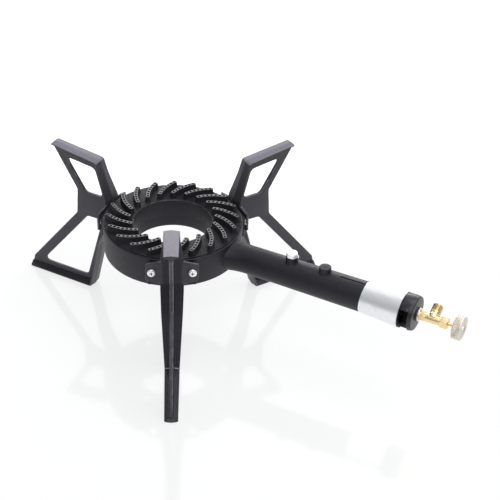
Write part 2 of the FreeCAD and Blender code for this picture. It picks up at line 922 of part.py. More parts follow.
def drill_valve(body):
    """The gas way from the inlet past the seat to the jet, and the spindle guide."""
    guide = size.spindle_radius + size.running_gap
    way = axial_sketch(body, "gas_way")
    outline(way, [
        (size.nose_start - SPARE, 0),
        (size.nose_start - SPARE, size.jet_socket),
        (size.jet_socket_end, size.jet_socket),
        (size.jet_socket_end, size.gas_bore),
        (size.seat_start, size.gas_bore),
        (size.seat_end, size.chamber_radius),
        (size.chamber_end, size.chamber_radius),
        (size.chamber_end, guide),
        (size.gland_thread_end + SPARE, guide),
        (size.gland_thread_end + SPARE, 0),
    ])
    groove(body, way, "H_Axis")
    entry = inlet_sketch(body, "inlet_way")
    outline(entry, [
        (0, SPARE),
        (size.inlet_way, SPARE),
        (size.inlet_way, size.inlet_thread_start),
        (size.inlet_bore, size.inlet_thread_start),
        (size.inlet_bore, size.inlet_length + SPARE),
        (0, size.inlet_length + SPARE),
    ])
    groove(body, entry, "V_Axis")


def hex_nut(name, start, end, flats, bore):
    """A hexagon nut on the tube axis, with a plain bore."""
    body = new_body(name)
    sides = cross_sketch(body, name + "_sides", start)
    hexagon(sides, flats)
    pad(body, sides, end - start)
    hole = cross_sketch(body, name + "_hole", start)
    circle(hole, (0, 0), bore)
    pocket(body, hole, forward=True)
    return body


def build_lock_nut():
    end = size.bridge_start - size.seat_gap
    start = end - size.lock_nut_thickness
    return hex_nut("valve_lock_nut", start, end, size.lock_nut_flats, size.nose_radius + size.running_gap)


def build_gas_jet():
    """The jet: a hexagon head with a fine hole and a plain shank in the valve nose."""
    body = hex_nut("gas_jet", size.jet_start, size.nose_start, size.jet_flats, size.jet_orifice)
    shank = cross_sketch(body, "jet_shank", size.nose_start)
    circle(shank, (0, 0), size.jet_socket - size.running_gap)
    circle(shank, (0, 0), size.gas_bore)
    pad(body, shank, size.jet_socket_end - size.nose_start - size.screw_gap)
    return body


def build_gland_nut():
    bore = size.gland_thread_radius + size.running_gap
    exit_bore = size.spindle_radius + size.running_gap
    body = hex_nut("gland_nut", size.gland_start, size.gland_end, size.gland_flats, exit_bore)
    thread = cross_sketch(body, "gland_thread", size.gland_start)
    circle(thread, (0, 0), bore)
    pocket(body, thread, size.gland_floor - size.gland_start, forward=True)
    return body


def build_gland_packing():
    inner = size.spindle_radius + size.running_gap
    return turned_body("gland_packing", [
        (size.packing_start, inner),
        (size.packing_start, size.gland_thread_radius - size.seat_gap),
        (size.gland_floor - size.seat_gap, size.gland_thread_radius - size.seat_gap),
        (size.gland_floor - size.seat_gap, inner),
    ])


def build_needle_tip():
    """The loose cone that closes the seat, with a socket for the spindle pin."""
    return turned_body("needle_tip", [
        (size.tip_start, 0),
        (size.tip_start, size.tip_point),
        (size.seat_end, size.tip_radius),
        (size.tip_end, size.tip_radius),
        (size.tip_end, size.tip_socket),
        (size.tip_end - size.tip_socket_depth, size.tip_socket),
        (size.tip_end - size.tip_socket_depth, 0),
    ])


def build_needle_spindle():
    """The stem, with a pin in the needle tip and a hole for the knob screw."""
    pin = size.tip_socket - size.running_gap
    screw_hole = size.m3_radius + size.running_gap
    hole_floor = size.spindle_end - size.m3_length - size.tip_gap
    return turned_body("needle_spindle", [
        (size.tip_end - size.tip_socket_depth + size.tip_gap, 0),
        (size.tip_end - size.tip_socket_depth + size.tip_gap, pin),
        (size.tip_end + size.tip_gap, pin),
        (size.tip_end + size.tip_gap, size.spindle_radius),
        (size.spindle_end, size.spindle_radius),
        (size.spindle_end, screw_hole),
        (hole_floor, screw_hole),
        (hole_floor, 0),
    ])


def build_control_knob():
    """The round knob with a hub, a cupped back, a dished face and a groove beside the knurl."""
    edge = size.knob_edge
    rim = size.knob_radius
    bore = size.spindle_radius + size.knob_fit
    return turned_body("control_knob", [
        (size.knob_start, bore),
        (size.knob_start, size.knob_hub),
        (size.knob_start + size.knob_cup_depth, size.knob_hub),
        (size.knob_start + size.knob_cup_depth, size.knob_cup),
        (size.knob_start, size.knob_cup + size.knob_slope),
        (size.knob_start, rim - edge),
        (size.knob_start + edge, rim),
        (size.knob_band - size.knob_groove, rim),
        (size.knob_band, rim - size.knob_groove),
        (size.knob_band + size.knob_groove, rim),
        (size.knob_end - edge, rim),
        (size.knob_end, rim - edge),
        (size.knob_end, size.knob_dish),
        (size.knob_end - size.knob_dish_depth, size.knob_dish - size.knob_slope),
        (size.knob_end - size.knob_dish_depth, bore),
    ])


def build_boss_bolt():
    """The hexagon bolt in the boss nearer the ring."""
    body = new_body("tube_boss_screw", SIZES["bolt_turn"], size.boss_near)
    seat = size.tube_height + size.boss_rise
    head = sketch_on(body, "bolt_head", "XY_Plane", z=seat)
    hexagon(head, size.bolt_flats)
    pad(body, head, size.bolt_head_height)
    shank = sketch_on(body, "bolt_shank", "XY_Plane", z=seat)
    circle(shank, (0, 0), size.bolt_radius)
    pad(body, shank, size.bolt_length, back=True)
    return body


def pan_screw(head_radius, head_height, shank_radius, length):
    """A pan head screw along +Z, with the underside of its head at height 0."""
    side = head_height * HEAD_SIDE
    head = Part.makeCylinder(head_radius, side)
    crown = Part.makeCone(head_radius, head_radius * HEAD_TOP, head_height - side, Vector(0, 0, side))
    shank = Part.makeCylinder(shank_radius, length, Vector(0, 0, -length))
    return head.fuse([crown, shank])


def screw_group(name, prefix, length, seats):
    """Equal screws in one object. Each seat is a place under the head and the way the head points."""
    kind = [SIZES[f"{prefix}_{part}"] for part in ("head_radius", "head_height", "radius")]
    screws = []
    for place, way in seats:
        screw = pan_screw(*kind, length)
        screw.Placement = FreeCAD.Placement(place, FreeCAD.Rotation(Vector(0, 0, 1), way))
        screws.append(screw)
    group = doc.addObject("Part::Feature", name)
    group.Label = name
    group.Shape = Part.makeCompound(screws)
    group.Placement = FreeCAD.Placement(Vector(SHIFT.number, 0, 0), FreeCAD.Rotation())
    return group


def build_screws():
    seat = SIZES["leg_face"] + SIZES["ear_thickness"]
    leg_seats = []
    for turn in LEG_TURNS.values():
        spin = FreeCAD.Rotation(Vector(0, 0, 1), turn)
        for hand in (-1, 1):
            place = Vector(seat, hand * SIZES["leg_screw_side"], SIZES["leg_screw_height"])
            leg_seats.append((spin.multVec(place), spin.multVec(Vector(1, 0, 0))))
    lid_seats = []
    for turn in LID_SCREW_TURNS:
        spin = FreeCAD.Rotation(Vector(0, 0, 1), turn)
        place = Vector(SIZES["pillar_circle"], 0, SIZES["ring_base"])
        lid_seats.append((spin.multVec(place), Vector(0, 0, -1)))
    knob_face = Vector(SIZES["knob_end"] - SIZES["knob_dish_depth"], 0, SIZES["tube_height"])
    leg_length = SIZES["ear_thickness"] + SIZES["leg_screw_reach"]
    return [
        screw_group("leg_screws", "m6", leg_length, leg_seats),
        screw_group("head_screws", "m5", SIZES["lid_screw_length"], lid_seats),
        screw_group("knob_screw", "m3", SIZES["m3_length"], [(knob_face, Vector(1, 0, 0))]),
    ]


def check_and_write(pieces):
    """Refuse a failed or broken piece, then write each one to its own file."""
    doc.recompute()
    for item in doc.Objects:
        if "Invalid" in item.State or "Error" in item.State:
            raise RuntimeError(f"{item.Label} failed: {item.State}")
    for piece in pieces:
        if piece.Shape.isNull() or not piece.Shape.isValid():
            raise RuntimeError(f"{piece.Label} has no valid shape")
    os.makedirs("parts", exist_ok=True)
    for piece in pieces:
        piece.Shape.exportStep(f"parts/{piece.Label}.step")


def main():
    fill_sheet()
    pieces = [
        build_burner_body(),
        build_burner_head(),
        build_rating_foil(),
        build_air_shutter(),
        build_set_screw(),
        build_clamp_washer(),
        build_valve_body(),
        build_lock_nut(),
        build_gas_jet(),
        build_gland_nut(),
        build_gland_packing(),
        build_needle_tip(),
        build_needle_spindle(),
        build_control_knob(),
        build_boss_bolt(),
    ]
    pieces += [build_leg(name, turn) for name, turn in LEG_TURNS.items()]
    pieces += build_screws()
    check_and_write(pieces)


main()
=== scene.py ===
"""Dresses the outdoor gas stove: castings, screws, foil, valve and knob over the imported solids."""
from __future__ import annotations

import json
import logging
import math
from dataclasses import dataclass, field, replace
from enum import Enum
from typing import Any, Sequence

import bmesh
import bpy
import numpy as np
from mathutils import Matrix, Vector


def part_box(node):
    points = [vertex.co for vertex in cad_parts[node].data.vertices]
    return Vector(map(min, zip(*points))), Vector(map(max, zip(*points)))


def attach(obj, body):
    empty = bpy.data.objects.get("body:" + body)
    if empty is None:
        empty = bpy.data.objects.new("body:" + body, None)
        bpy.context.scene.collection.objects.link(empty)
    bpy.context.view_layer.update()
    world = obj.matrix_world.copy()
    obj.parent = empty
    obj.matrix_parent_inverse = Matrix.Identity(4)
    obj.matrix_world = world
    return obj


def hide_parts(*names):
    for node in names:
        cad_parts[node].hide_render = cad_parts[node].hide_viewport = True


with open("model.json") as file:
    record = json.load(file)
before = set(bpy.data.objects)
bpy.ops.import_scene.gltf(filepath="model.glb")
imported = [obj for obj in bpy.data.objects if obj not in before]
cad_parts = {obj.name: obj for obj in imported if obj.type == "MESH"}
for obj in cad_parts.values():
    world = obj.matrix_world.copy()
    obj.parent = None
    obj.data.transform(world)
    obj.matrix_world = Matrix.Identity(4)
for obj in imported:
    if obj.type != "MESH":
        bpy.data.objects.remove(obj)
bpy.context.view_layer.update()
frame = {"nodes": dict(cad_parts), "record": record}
log = logging.getLogger("outdoor_gas_stove")

Array = np.ndarray
Triple = tuple[float, float, float]
MM = 0.001
MERGE_MM = 0.002
WHITE = (1.0, 1.0, 1.0, 1.0)


class Body(Enum):
    """The bodies that dressed pieces ride on."""

    STOVE = "stove"
    SHUTTER = "shutter"
    KNOB = "knob"


def middle_of(node: str) -> Array:
    """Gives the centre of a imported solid's box in millimetres."""
    low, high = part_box(node)
    return (np.array(low) + np.array(high)) / 2 / MM


# Sizes that more than one piece needs, in millimetres from the ring axis and the floor, and in degrees.
RING_X = float(middle_of("burner_head")[0])
TUBE_Z = float(middle_of("control_knob")[2])
LEG_TURNS = {"leg_rear": 180.0, "leg_right": -60.0, "leg_left": 60.0}
LID_SCREW_TURNS = (30.0, 150.0, 270.0)
LID_SCREW_REACH = 70.0
RING_STEPS = 180
HEX_STEPS = 144
KNOB_STEPS = 400
HOLE_RADIUS = 50.0
RING_BASE = 103.0
SEAM = 120.0
SEAT = 138.5
EAR_FACE = 94.5
EAR_SCREW_SIDE = 25.5
EAR_SCREW_HEIGHT = 129.0
BOSS_REACH = 171.0
BOSS_TOP = 148.0
KNOB_DISH = 397.4
AIR_WALL_START = 254.0
AIR_WALL_SWEEP = 253.0


class Socket:
    """A shader socket that takes part in sums and products like a number."""

    def __init__(self, canvas: Canvas, out: bpy.types.NodeSocket) -> None:
        """Keeps the canvas that the socket belongs to and the socket itself."""
        self.canvas = canvas
        self.out = out

    def _math(self, operation: str, first: Any, second: Any) -> Socket:
        """Adds one Math node and gives its result."""
        return self.canvas.node("Math", {"operation": operation}, {0: first, 1: second})

    def __add__(self, other: Any) -> Socket:
        """Adds."""
        return self._math("ADD", self, other)

    def __radd__(self, other: Any) -> Socket:
        """Adds, with the number first."""
        return self._math("ADD", other, self)

    def __sub__(self, other: Any) -> Socket:
        """Subtracts."""
        return self._math("SUBTRACT", self, other)

    def __mul__(self, other: Any) -> Socket:
        """Multiplies."""
        return self._math("MULTIPLY", self, other)

    def clipped(self, low: float, high: float) -> Socket:
        """Moves the range low to high onto 0 to 1 and holds the ends."""
        return self.canvas.node("MapRange", {"clamp": True}, {0: self, 1: low, 2: high})


class Canvas:
    """A node tree that nodes are added to."""

    def __init__(self, tree: bpy.types.NodeTree) -> None:
        """Starts with an empty tree."""
        self.tree = tree
        tree.nodes.clear()

    def node(self, kind: str, settings: dict[str, Any], inputs: dict[Any, Any], out: Any = 0) -> Socket:
        """Adds one node.

        Args:
            kind: Blender's name of the node type, after its first part ShaderNode.
            settings: The node's own settings.
            inputs: A value or a Socket for each input, by name or number.
            out: Which output is wanted, by name or number, or None.

        Returns:
            The wanted output.
        """
        node = self.tree.nodes.new("ShaderNode" + kind)
        for key, value in settings.items():
            setattr(node, key, value)
        for key, value in inputs.items():
            self.feed(node.inputs[key], value)
        return Socket(self, None if out is None else node.outputs[out])

    def feed(self, plug: bpy.types.NodeSocket, value: Any) -> None:
        """Links a Socket to an input, or sets the input to a plain value.

        Args:
            plug: The input.
            value: The Socket or value.
        """
        if isinstance(value, Socket):
            self.tree.links.new(value.out, plug)
        else:
            plug.default_value = value

    def ray(self, kind: str) -> Socket:
        """Gives 1 for rays of a kind, such as Camera, and 0 for others."""
        return self.node("LightPath", {}, {}, f"Is {kind} Ray")


class Paint(Canvas):
    """A node material whose one surface shader is filled in by a finish."""

    def __init__(self, name: str) -> None:
        """Starts a material with a Principled surface.

        Args:
            name: What the material is called.
        """
        self.material = bpy.data.materials.new(name)
        self.material.use_nodes = True
        super().__init__(self.material.node_tree)
        self.shader = self.tree.nodes.new("ShaderNodeBsdfPrincipled")
        self.sheet = self.tree.nodes.new("ShaderNodeOutputMaterial")
        self.tree.links.new(self.shader.outputs[0], self.sheet.inputs["Surface"])

    def noise(self, grain_mm: float, detail: float, stretch: Triple = (1.0, 1.0, 1.0)) -> Socket:
        """Gives a cloudy value between 0 and 1, in the piece's own coordinates.

        Args:
            grain_mm: Size of one cloud.
            detail: How many finer layers are added.
            stretch: How much each axis is scaled.

        Returns:
            The value.
        """
        spot = self.node("TexCoord", {}, {}, "Object")
        place = self.node("Mapping", {}, {"Vector": spot, "Scale": stretch})
        return self.node("TexNoise", {}, {"Vector": place, "Scale": 1 / (grain_mm * MM), "Detail": detail})

    def mixed(self, share: Socket, first: Triple, second: Triple) -> Socket:
        """Mixes two colours by a share from 0 to 1."""
        return self.node("Mix", {"data_type": "RGBA"}, {0: share, 6: (*first, 1.0), 7: (*second, 1.0)}, 2)

    def bump(self, height: Socket, depth_mm: float, strength: float = 1.0, below: Any = None) -> Socket:
        """Turns a height from 0 to 1 into a surface normal.

        Args:
            height: The height.
            depth_mm: What a height of 1 means.
            strength: How much of the bump shows.
            below: A bump that this one lies on.

        Returns:
            The normal.
        """
        inputs = {"Height": height, "Distance": depth_mm * MM, "Strength": strength}
        if below is not None:
            inputs["Normal"] = below
        return self.node("Bump", {}, inputs)

    def finish(self, **values: Any) -> bpy.types.Material:
        """Fills the surface shader.

        Args:
            values: A value or Socket for each input, with _ for each space in its name.

        Returns:
            The finished material.
        """
        for key, value in values.items():
            self.feed(self.shader.inputs[key.replace("_", " ")], value)
        return self.material


@dataclass(frozen=True)
class CastIron:
    """Black satin casting: fine grain, broad unevenness and paler rubbed spots."""

    name: str = "cast_iron"
    dark: Triple = (0.0070, 0.0066, 0.0080)
    pale: Triple = (0.0170, 0.0160, 0.0190)
    roughness: float = 0.47
    grain_mm: float = 2.0
    depth_mm: float = 0.42
    gloss: float = 0.42
    sheen_tint: Triple = (0.90, 0.86, 1.0)
    speck_mm: float = 1.4
    rub_mm: float = 6.0
    swell_mm: float = 14.0
    cloud_mm: float = 32.0

    def material(self) -> bpy.types.Material:
        """Builds the finish.

        Returns:
            The material.
        """
        paint = Paint(self.name)
        grain = paint.noise(self.grain_mm, 4.0)
        swell = paint.bump(paint.noise(self.swell_mm, 2.0), 0.5, 0.6)
        rub = paint.noise(self.rub_mm, 5.0).clipped(0.56, 0.78)
        speck = paint.noise(self.speck_mm, 2.0).clipped(0.55, 0.72)
        share = paint.noise(self.cloud_mm, 4.0) * 0.7 + rub * 0.5 + speck * 0.6
        return paint.finish(
            Base_Color=paint.mixed(share.clipped(0.15, 1.25), self.dark, self.pale),
            Roughness=self.roughness - 0.05 + grain * 0.16 - rub * 0.05 - speck * 0.06,
            Normal=paint.bump(grain, self.depth_mm, 0.75, swell),
            Specular_IOR_Level=self.gloss,
            Specular_Tint=(*self.sheen_tint, 1.0),
        )


@dataclass(frozen=True)
class Surface:
    """A tone between two colours by broad clouds and fine lines, which also roughen and dent it.

    The clouds are clipped to their own range first. Tone and roughness are sums of clouds and lines by their
    weights, and the sum for the tone is clipped to its span.
    """

    name: str
    first: Triple
    second: Triple
    roughness: float
    lines_mm: float = 0.35
    depth_mm: float = 0.02
    metallic: float = 1.0
    cloud_mm: float = 5.0
    details: tuple[float, float] = (4.0, 3.0)
    clouds: tuple[float, float] = (0.0, 1.0)
    tone: tuple[float, float] = (0.8, 0.3)
    span: tuple[float, float] = (0.3, 0.85)
    rough: tuple[float, float] = (0.12, 0.05)
    strength: float = 0.6
    gloss: float = 0.5
    stretch: Triple = (1.0, 1.0, 1.0)
    sheen_tint: Triple = (1.0, 1.0, 1.0)

    def material(self) -> bpy.types.Material:
        """Builds the finish.

        Returns:
            The material.
        """
        paint = Paint(self.name)
        cloud = paint.noise(self.cloud_mm, self.details[0]).clipped(*self.clouds)
        lines = paint.noise(self.lines_mm, self.details[1], self.stretch)
        share = (cloud * self.tone[0] + lines * self.tone[1]).clipped(*self.span)
        return paint.finish(
            Base_Color=paint.mixed(share, self.first, self.second),
            Roughness=self.roughness + cloud * self.rough[0] + lines * self.rough[1],
            Metallic=self.metallic,
            Normal=paint.bump(lines, self.depth_mm, self.strength),
            Specular_IOR_Level=self.gloss,
            Specular_Tint=(*self.sheen_tint, 1.0),
        )


class Finishes:
    """All finishes of the stove, each made once and known by its name."""

    def __init__(self) -> None:
        """Makes every material."""
        whole = (0.0, 1.0)
        # Paler patches on the rounded edges of the castings: real wear together with a painted highlight
        # along the edges.
        worn_and_highlit_edge = Surface(
            "worn_and_highlit_iron", (0.013, 0.0125, 0.014), (0.20, 0.193, 0.208), 0.38, 1.3, 0.12, 0.0, 9.0, (5.0, 4.0),
            clouds=(0.44, 0.66), tone=(0.7, 0.2), span=whole, rough=(-0.06, 0.12), strength=0.7,
        )
        recipes = (
            CastIron(),
            CastIron("burner_iron", (0.0060, 0.0057, 0.0068), (0.0140, 0.0133, 0.0154), 0.58, gloss=0.30),
            CastIron("leg_iron", (0.023, 0.0220, 0.0256), (0.037, 0.0355, 0.0410), 0.40, gloss=0.55),
            # Pale purplish iron for the arm tops: rubbing by pans together with a painted highlight.
            CastIron("rubbed_and_highlit_iron", (0.150, 0.143, 0.172), (0.215, 0.205, 0.245), 0.50, 0.8, 0.06, 0.25),
            Surface(
                "ground_iron", (0.150, 0.145, 0.158), (0.080, 0.077, 0.084), 0.40, 1.2, 0.05, 0.4,
                details=(4.0, 4.0), tone=(0.7, 0.6), span=(0.45, 0.95), rough=(0.0, 0.2),
                stretch=(1.0, 9.0, 1.0),
            ),
            worn_and_highlit_edge,
            # A paler edge finish that works as a painted highlight on the lid's inner top edge.
            replace(worn_and_highlit_edge, name="rim_highlight_iron", second=(0.095, 0.092, 0.100)),
            # Near-black painted shade for bores, ports, screw recesses and the parts seen inside the air
            # window.
            Surface(
                "painted_shade", (0.004, 0.004, 0.004), (0.012, 0.0115, 0.011), 0.75, 2.0, 0.1, 0.0, 2.0, (4.0, 4.0),
                tone=(1.0, 0.0), span=whole, rough=(0.2, 0.0), strength=1.0, gloss=0.1,
            ),
            Surface("zinc", (0.98, 0.98, 0.99), (0.95, 0.95, 0.97), 0.25, metallic=0.5),
            Surface("washer_steel", (0.80, 0.79, 0.76), (0.66, 0.65, 0.63), 0.23),
            Surface("foil", (0.88, 0.89, 0.91), (0.79, 0.80, 0.83), 0.25, 2.5, 0.06, 0.7),
            Surface(
                "black_coat", (0.011, 0.011, 0.012), (0.032, 0.031, 0.030), 0.30, 1.6, 0.06, 0.0, 4.0,
                details=(5.0, 2.0), tone=(1.0, 0.0), span=(0.5, 0.8), rough=(0.14, 0.0), strength=0.5,
                sheen_tint=(0.94, 0.89, 1.0),
            ),
            Surface("brass", (0.92, 0.755, 0.45), (0.82, 0.62, 0.32), 0.27),
            Surface("stem_steel", (0.66, 0.62, 0.55), (0.52, 0.49, 0.44), 0.23),
            Surface("bare_iron", (0.34, 0.33, 0.35), (0.20, 0.195, 0.21), 0.38, metallic=0.3),
            Surface("dull_screw", (0.16, 0.16, 0.165), (0.09, 0.09, 0.095), 0.38),
            Surface("knob_metal", (0.80, 0.735, 0.66), (0.66, 0.605, 0.545), 0.39, metallic=0.8),
            Surface(
                "packing", (0.78, 0.78, 0.75), (0.60, 0.60, 0.57), 0.4, 1.0, 0.03, 0.0, 1.0, (3.0, 3.0),
                tone=(1.0, 0.0), span=whole, rough=(0.2, 0.0), strength=1.0,
            ),
        )
        self.made = {recipe.name: recipe.material() for recipe in recipes}

    def __getitem__(self, name: str) -> bpy.types.Material:
        """Gives a material by its name."""
        return self.made[name]

    def dress_solids(self) -> None:
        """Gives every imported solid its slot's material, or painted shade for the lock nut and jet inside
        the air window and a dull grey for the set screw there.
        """
        painted_shade_and_dull = {"valve_lock_nut": "painted_shade", "gas_jet": "painted_shade", "shutter_set_screw": "dull_screw"}
        for row in frame["record"]["subparts"]:
            solid = frame["nodes"][row["node"]]
            solid.data.materials.clear()
            solid.data.materials.append(self[painted_shade_and_dull.get(row["node"], row["material_slot"])])


def rounded(corners: Any, radii: Any, steps: int = 5, closed: bool = True) -> Array:
    """Rounds the corners of a line.

    A corner P becomes (1-u)^2 A + 2u(1-u) P + u^2 B, where A and B lie on its two sides, as far from P as
    the radius divided by the tangent of half the corner's angle, and never past the cut limit's share of a
    side. Further columns are carried along.

    Args:
        corners: One row for each corner, with its place in the first two columns.
        radii: Rounding of each corner, or of all.
        steps: Pieces that each corner is divided into.
        closed: True where the last corner leads back to the first.

    Returns:
        The rounded line, one row for each point.
    """
    cut_limit = 0.46
    corners = np.asarray(corners, float)
    back = np.roll(corners, 1, axis=0) - corners
    ahead = np.roll(corners, -1, axis=0) - corners
    before = np.linalg.norm(back[:, :2], axis=1)
    after = np.linalg.norm(ahead[:, :2], axis=1)
    cosine = (back[:, :2] * ahead[:, :2]).sum(axis=1) / (before * after)
    half = np.arccos(np.clip(cosine, -1, 1)) / 2
    cut = np.minimum(np.asarray(radii, float) / np.tan(half), cut_limit * np.minimum(before, after))
    if not closed:
        cut[[0, -1]] = 0
    first = corners + back * (cut / before)[:, None]
    last = corners + ahead * (cut / after)[:, None]
    u = np.linspace(0, 1, steps + 1)[None, :, None]
    curve = (1 - u) ** 2 * first[:, None] + 2 * u * (1 - u) * corners[:, None] + u**2 * last[:, None]
    line = curve.reshape(-1, corners.shape[1])
    return line if closed else line[steps : len(line) - steps]


def quads(table: Array, wrap_rows: bool = False, wrap_columns: bool = False) -> Array:
    """Lists the four-sided faces between the points of a grid.

    Args:
        table: Point numbers, as rows and columns.
        wrap_rows: True where the last row meets the first.
        wrap_columns: True where the last column meets the first.

    Returns:
        Four point numbers for each face.
    """
    if wrap_rows:
        table = np.vstack([table, table[:1]])
    if wrap_columns:
        table = np.hstack([table, table[:, :1]])
    return np.stack([table[:-1, :-1], table[1:, :-1], table[1:, 1:], table[:-1, 1:]], axis=-1).reshape(-1, 4)


def numbers(surface: Array) -> Array:
    """Gives the point numbers of a grid, as rows and columns."""
    return np.arange(surface.shape[0] * surface.shape[1]).reshape(surface.shape[:2])


def rotated(points: Array, degrees: float) -> Array:
    """Turns points about the ring axis: x' = x cos - y sin, y' = x sin + y cos.

    Args:
        points: Places, with x, y and z in the last axis.
        degrees: How far they are turned.

    Returns:
        The turned points.
    """
    cos, sin = math.cos(math.radians(degrees)), math.sin(math.radians(degrees))
    x, y, z = np.moveaxis(points, -1, 0)
    return np.stack([x * cos - y * sin, x * sin + y * cos, z], -1)


def wave(turns: Array) -> Array:
    """A triangle wave: 0 at whole turns, 1 halfway between them."""
    return 1 - np.abs(2 * (turns % 1) - 1)


def ramp(distance: Array, width: float) -> Array:
    """Rises evenly from 0 to 1 over a width, and stays there."""
    return np.clip(distance / width, 0, 1)


def faded(along: Array, start: float, end: float, run_in: float, run_out: float) -> Array:
    """Rises from 0 to 1 over a run-in after the start, and falls to 0 over a run-out before the end."""
    return ramp(along - start, run_in) * ramp(end - along, run_out)


@dataclass(frozen=True)
class Spindle:
    """An axis that surfaces are turned about, with the direction that counts as angle 0."""

    origin: Triple
    along: Triple
    side: Triple

    def at(self, x: float, y: float, z: float) -> Spindle:
        """Gives a parallel axis through another place."""
        return replace(self, origin=(x, y, z))

    def turned(
        self,
        profile: Any,
        segments: int,
        start: float = 0.0,
        sweep: float = 360.0,
        flats: float = 0.0,
        relief: Any = 0.0,
    ) -> Array:
        """Turns a profile: P(t, k) = origin + a_k along + r (cos t side + sin t rise).

        The radius r is the profile's plus the relief. With flats, r is no more than the hexagon's own: half
        the flats over the cosine of the angle from the nearest flat, so a cone leaves its chamfer.

        Args:
            profile: Rows of length along the axis and radius.
            segments: Steps round the axis.
            start: First angle in degrees.
            sweep: Degrees that are covered.
            flats: Width across flats of a hexagon, or 0.
            relief: What is added to the radius, for each step and row.

        Returns:
            The points, as steps by rows.
        """
        profile = np.asarray(profile, float)
        turn = np.linspace(0, sweep, segments, endpoint=sweep < 360)[:, None]
        radius = profile[None, :, 1] + relief
        if flats:
            radius = np.minimum(radius, flats / 2 / np.cos(np.radians(turn % 60 - 30)))
        angle = np.radians(start + turn)
        return self.placed(profile[None, :, 0], radius * np.cos(angle), radius * np.sin(angle))

    def sleeve(self, along: Array, radius: float, relief: Array) -> Array:
        """Turns a line of one radius, with a relief for each step round the axis and each length."""
        return self.turned(np.stack([along, np.full(len(along), radius)], -1), len(relief), relief=relief)

    def placed(self, along: Any, side: Any, rise: Any) -> Array:
        """Moves lengths along the axis, to its side and up from it to their places."""
        along, side, rise = (part[..., None] for part in np.broadcast_arrays(along, side, rise))
        return self.origin + along * self.along + side * self.side + rise * np.cross(self.along, self.side)


RING = Spindle((0.0, 0.0, 0.0), (0.0, 0.0, 1.0), (1.0, 0.0, 0.0))
TUBE = Spindle((0.0, 0.0, TUBE_Z), (1.0, 0.0, 0.0), (0.0, 1.0, 0.0))


def across_leg(turn: float, reach: float) -> Spindle:
    """Gives the plane across a leg that faces away from the ring, at a reach from the ring axis."""
    x, y = math.cos(math.radians(turn)), math.sin(math.radians(turn))
    return Spindle((reach * x, reach * y, 0.0), (x, y, 0.0), (-y, x, 0.0))


def put_in_scene(name: str, data: bpy.types.ID) -> bpy.types.Object:
    """Makes an object and links it to the scene.

    Args:
        name: What it is called.
        data: Its mesh, lamp or camera.

    Returns:
        The object.
    """
    made = bpy.data.objects.new(name, data)
    bpy.context.scene.collection.objects.link(made)
    return made


@dataclass(frozen=True)
class Tag:
    """What a piece is called, which solid it stands for, its slot, finishes and body.

    The finishes are in the order of the marks, and edges past the sharp angle in degrees stay sharp.
    """

    piece: str
    node: str
    slot: str
    finishes: tuple[str, ...]
    sharp: float = 32.0
    body: Body = Body.STOVE


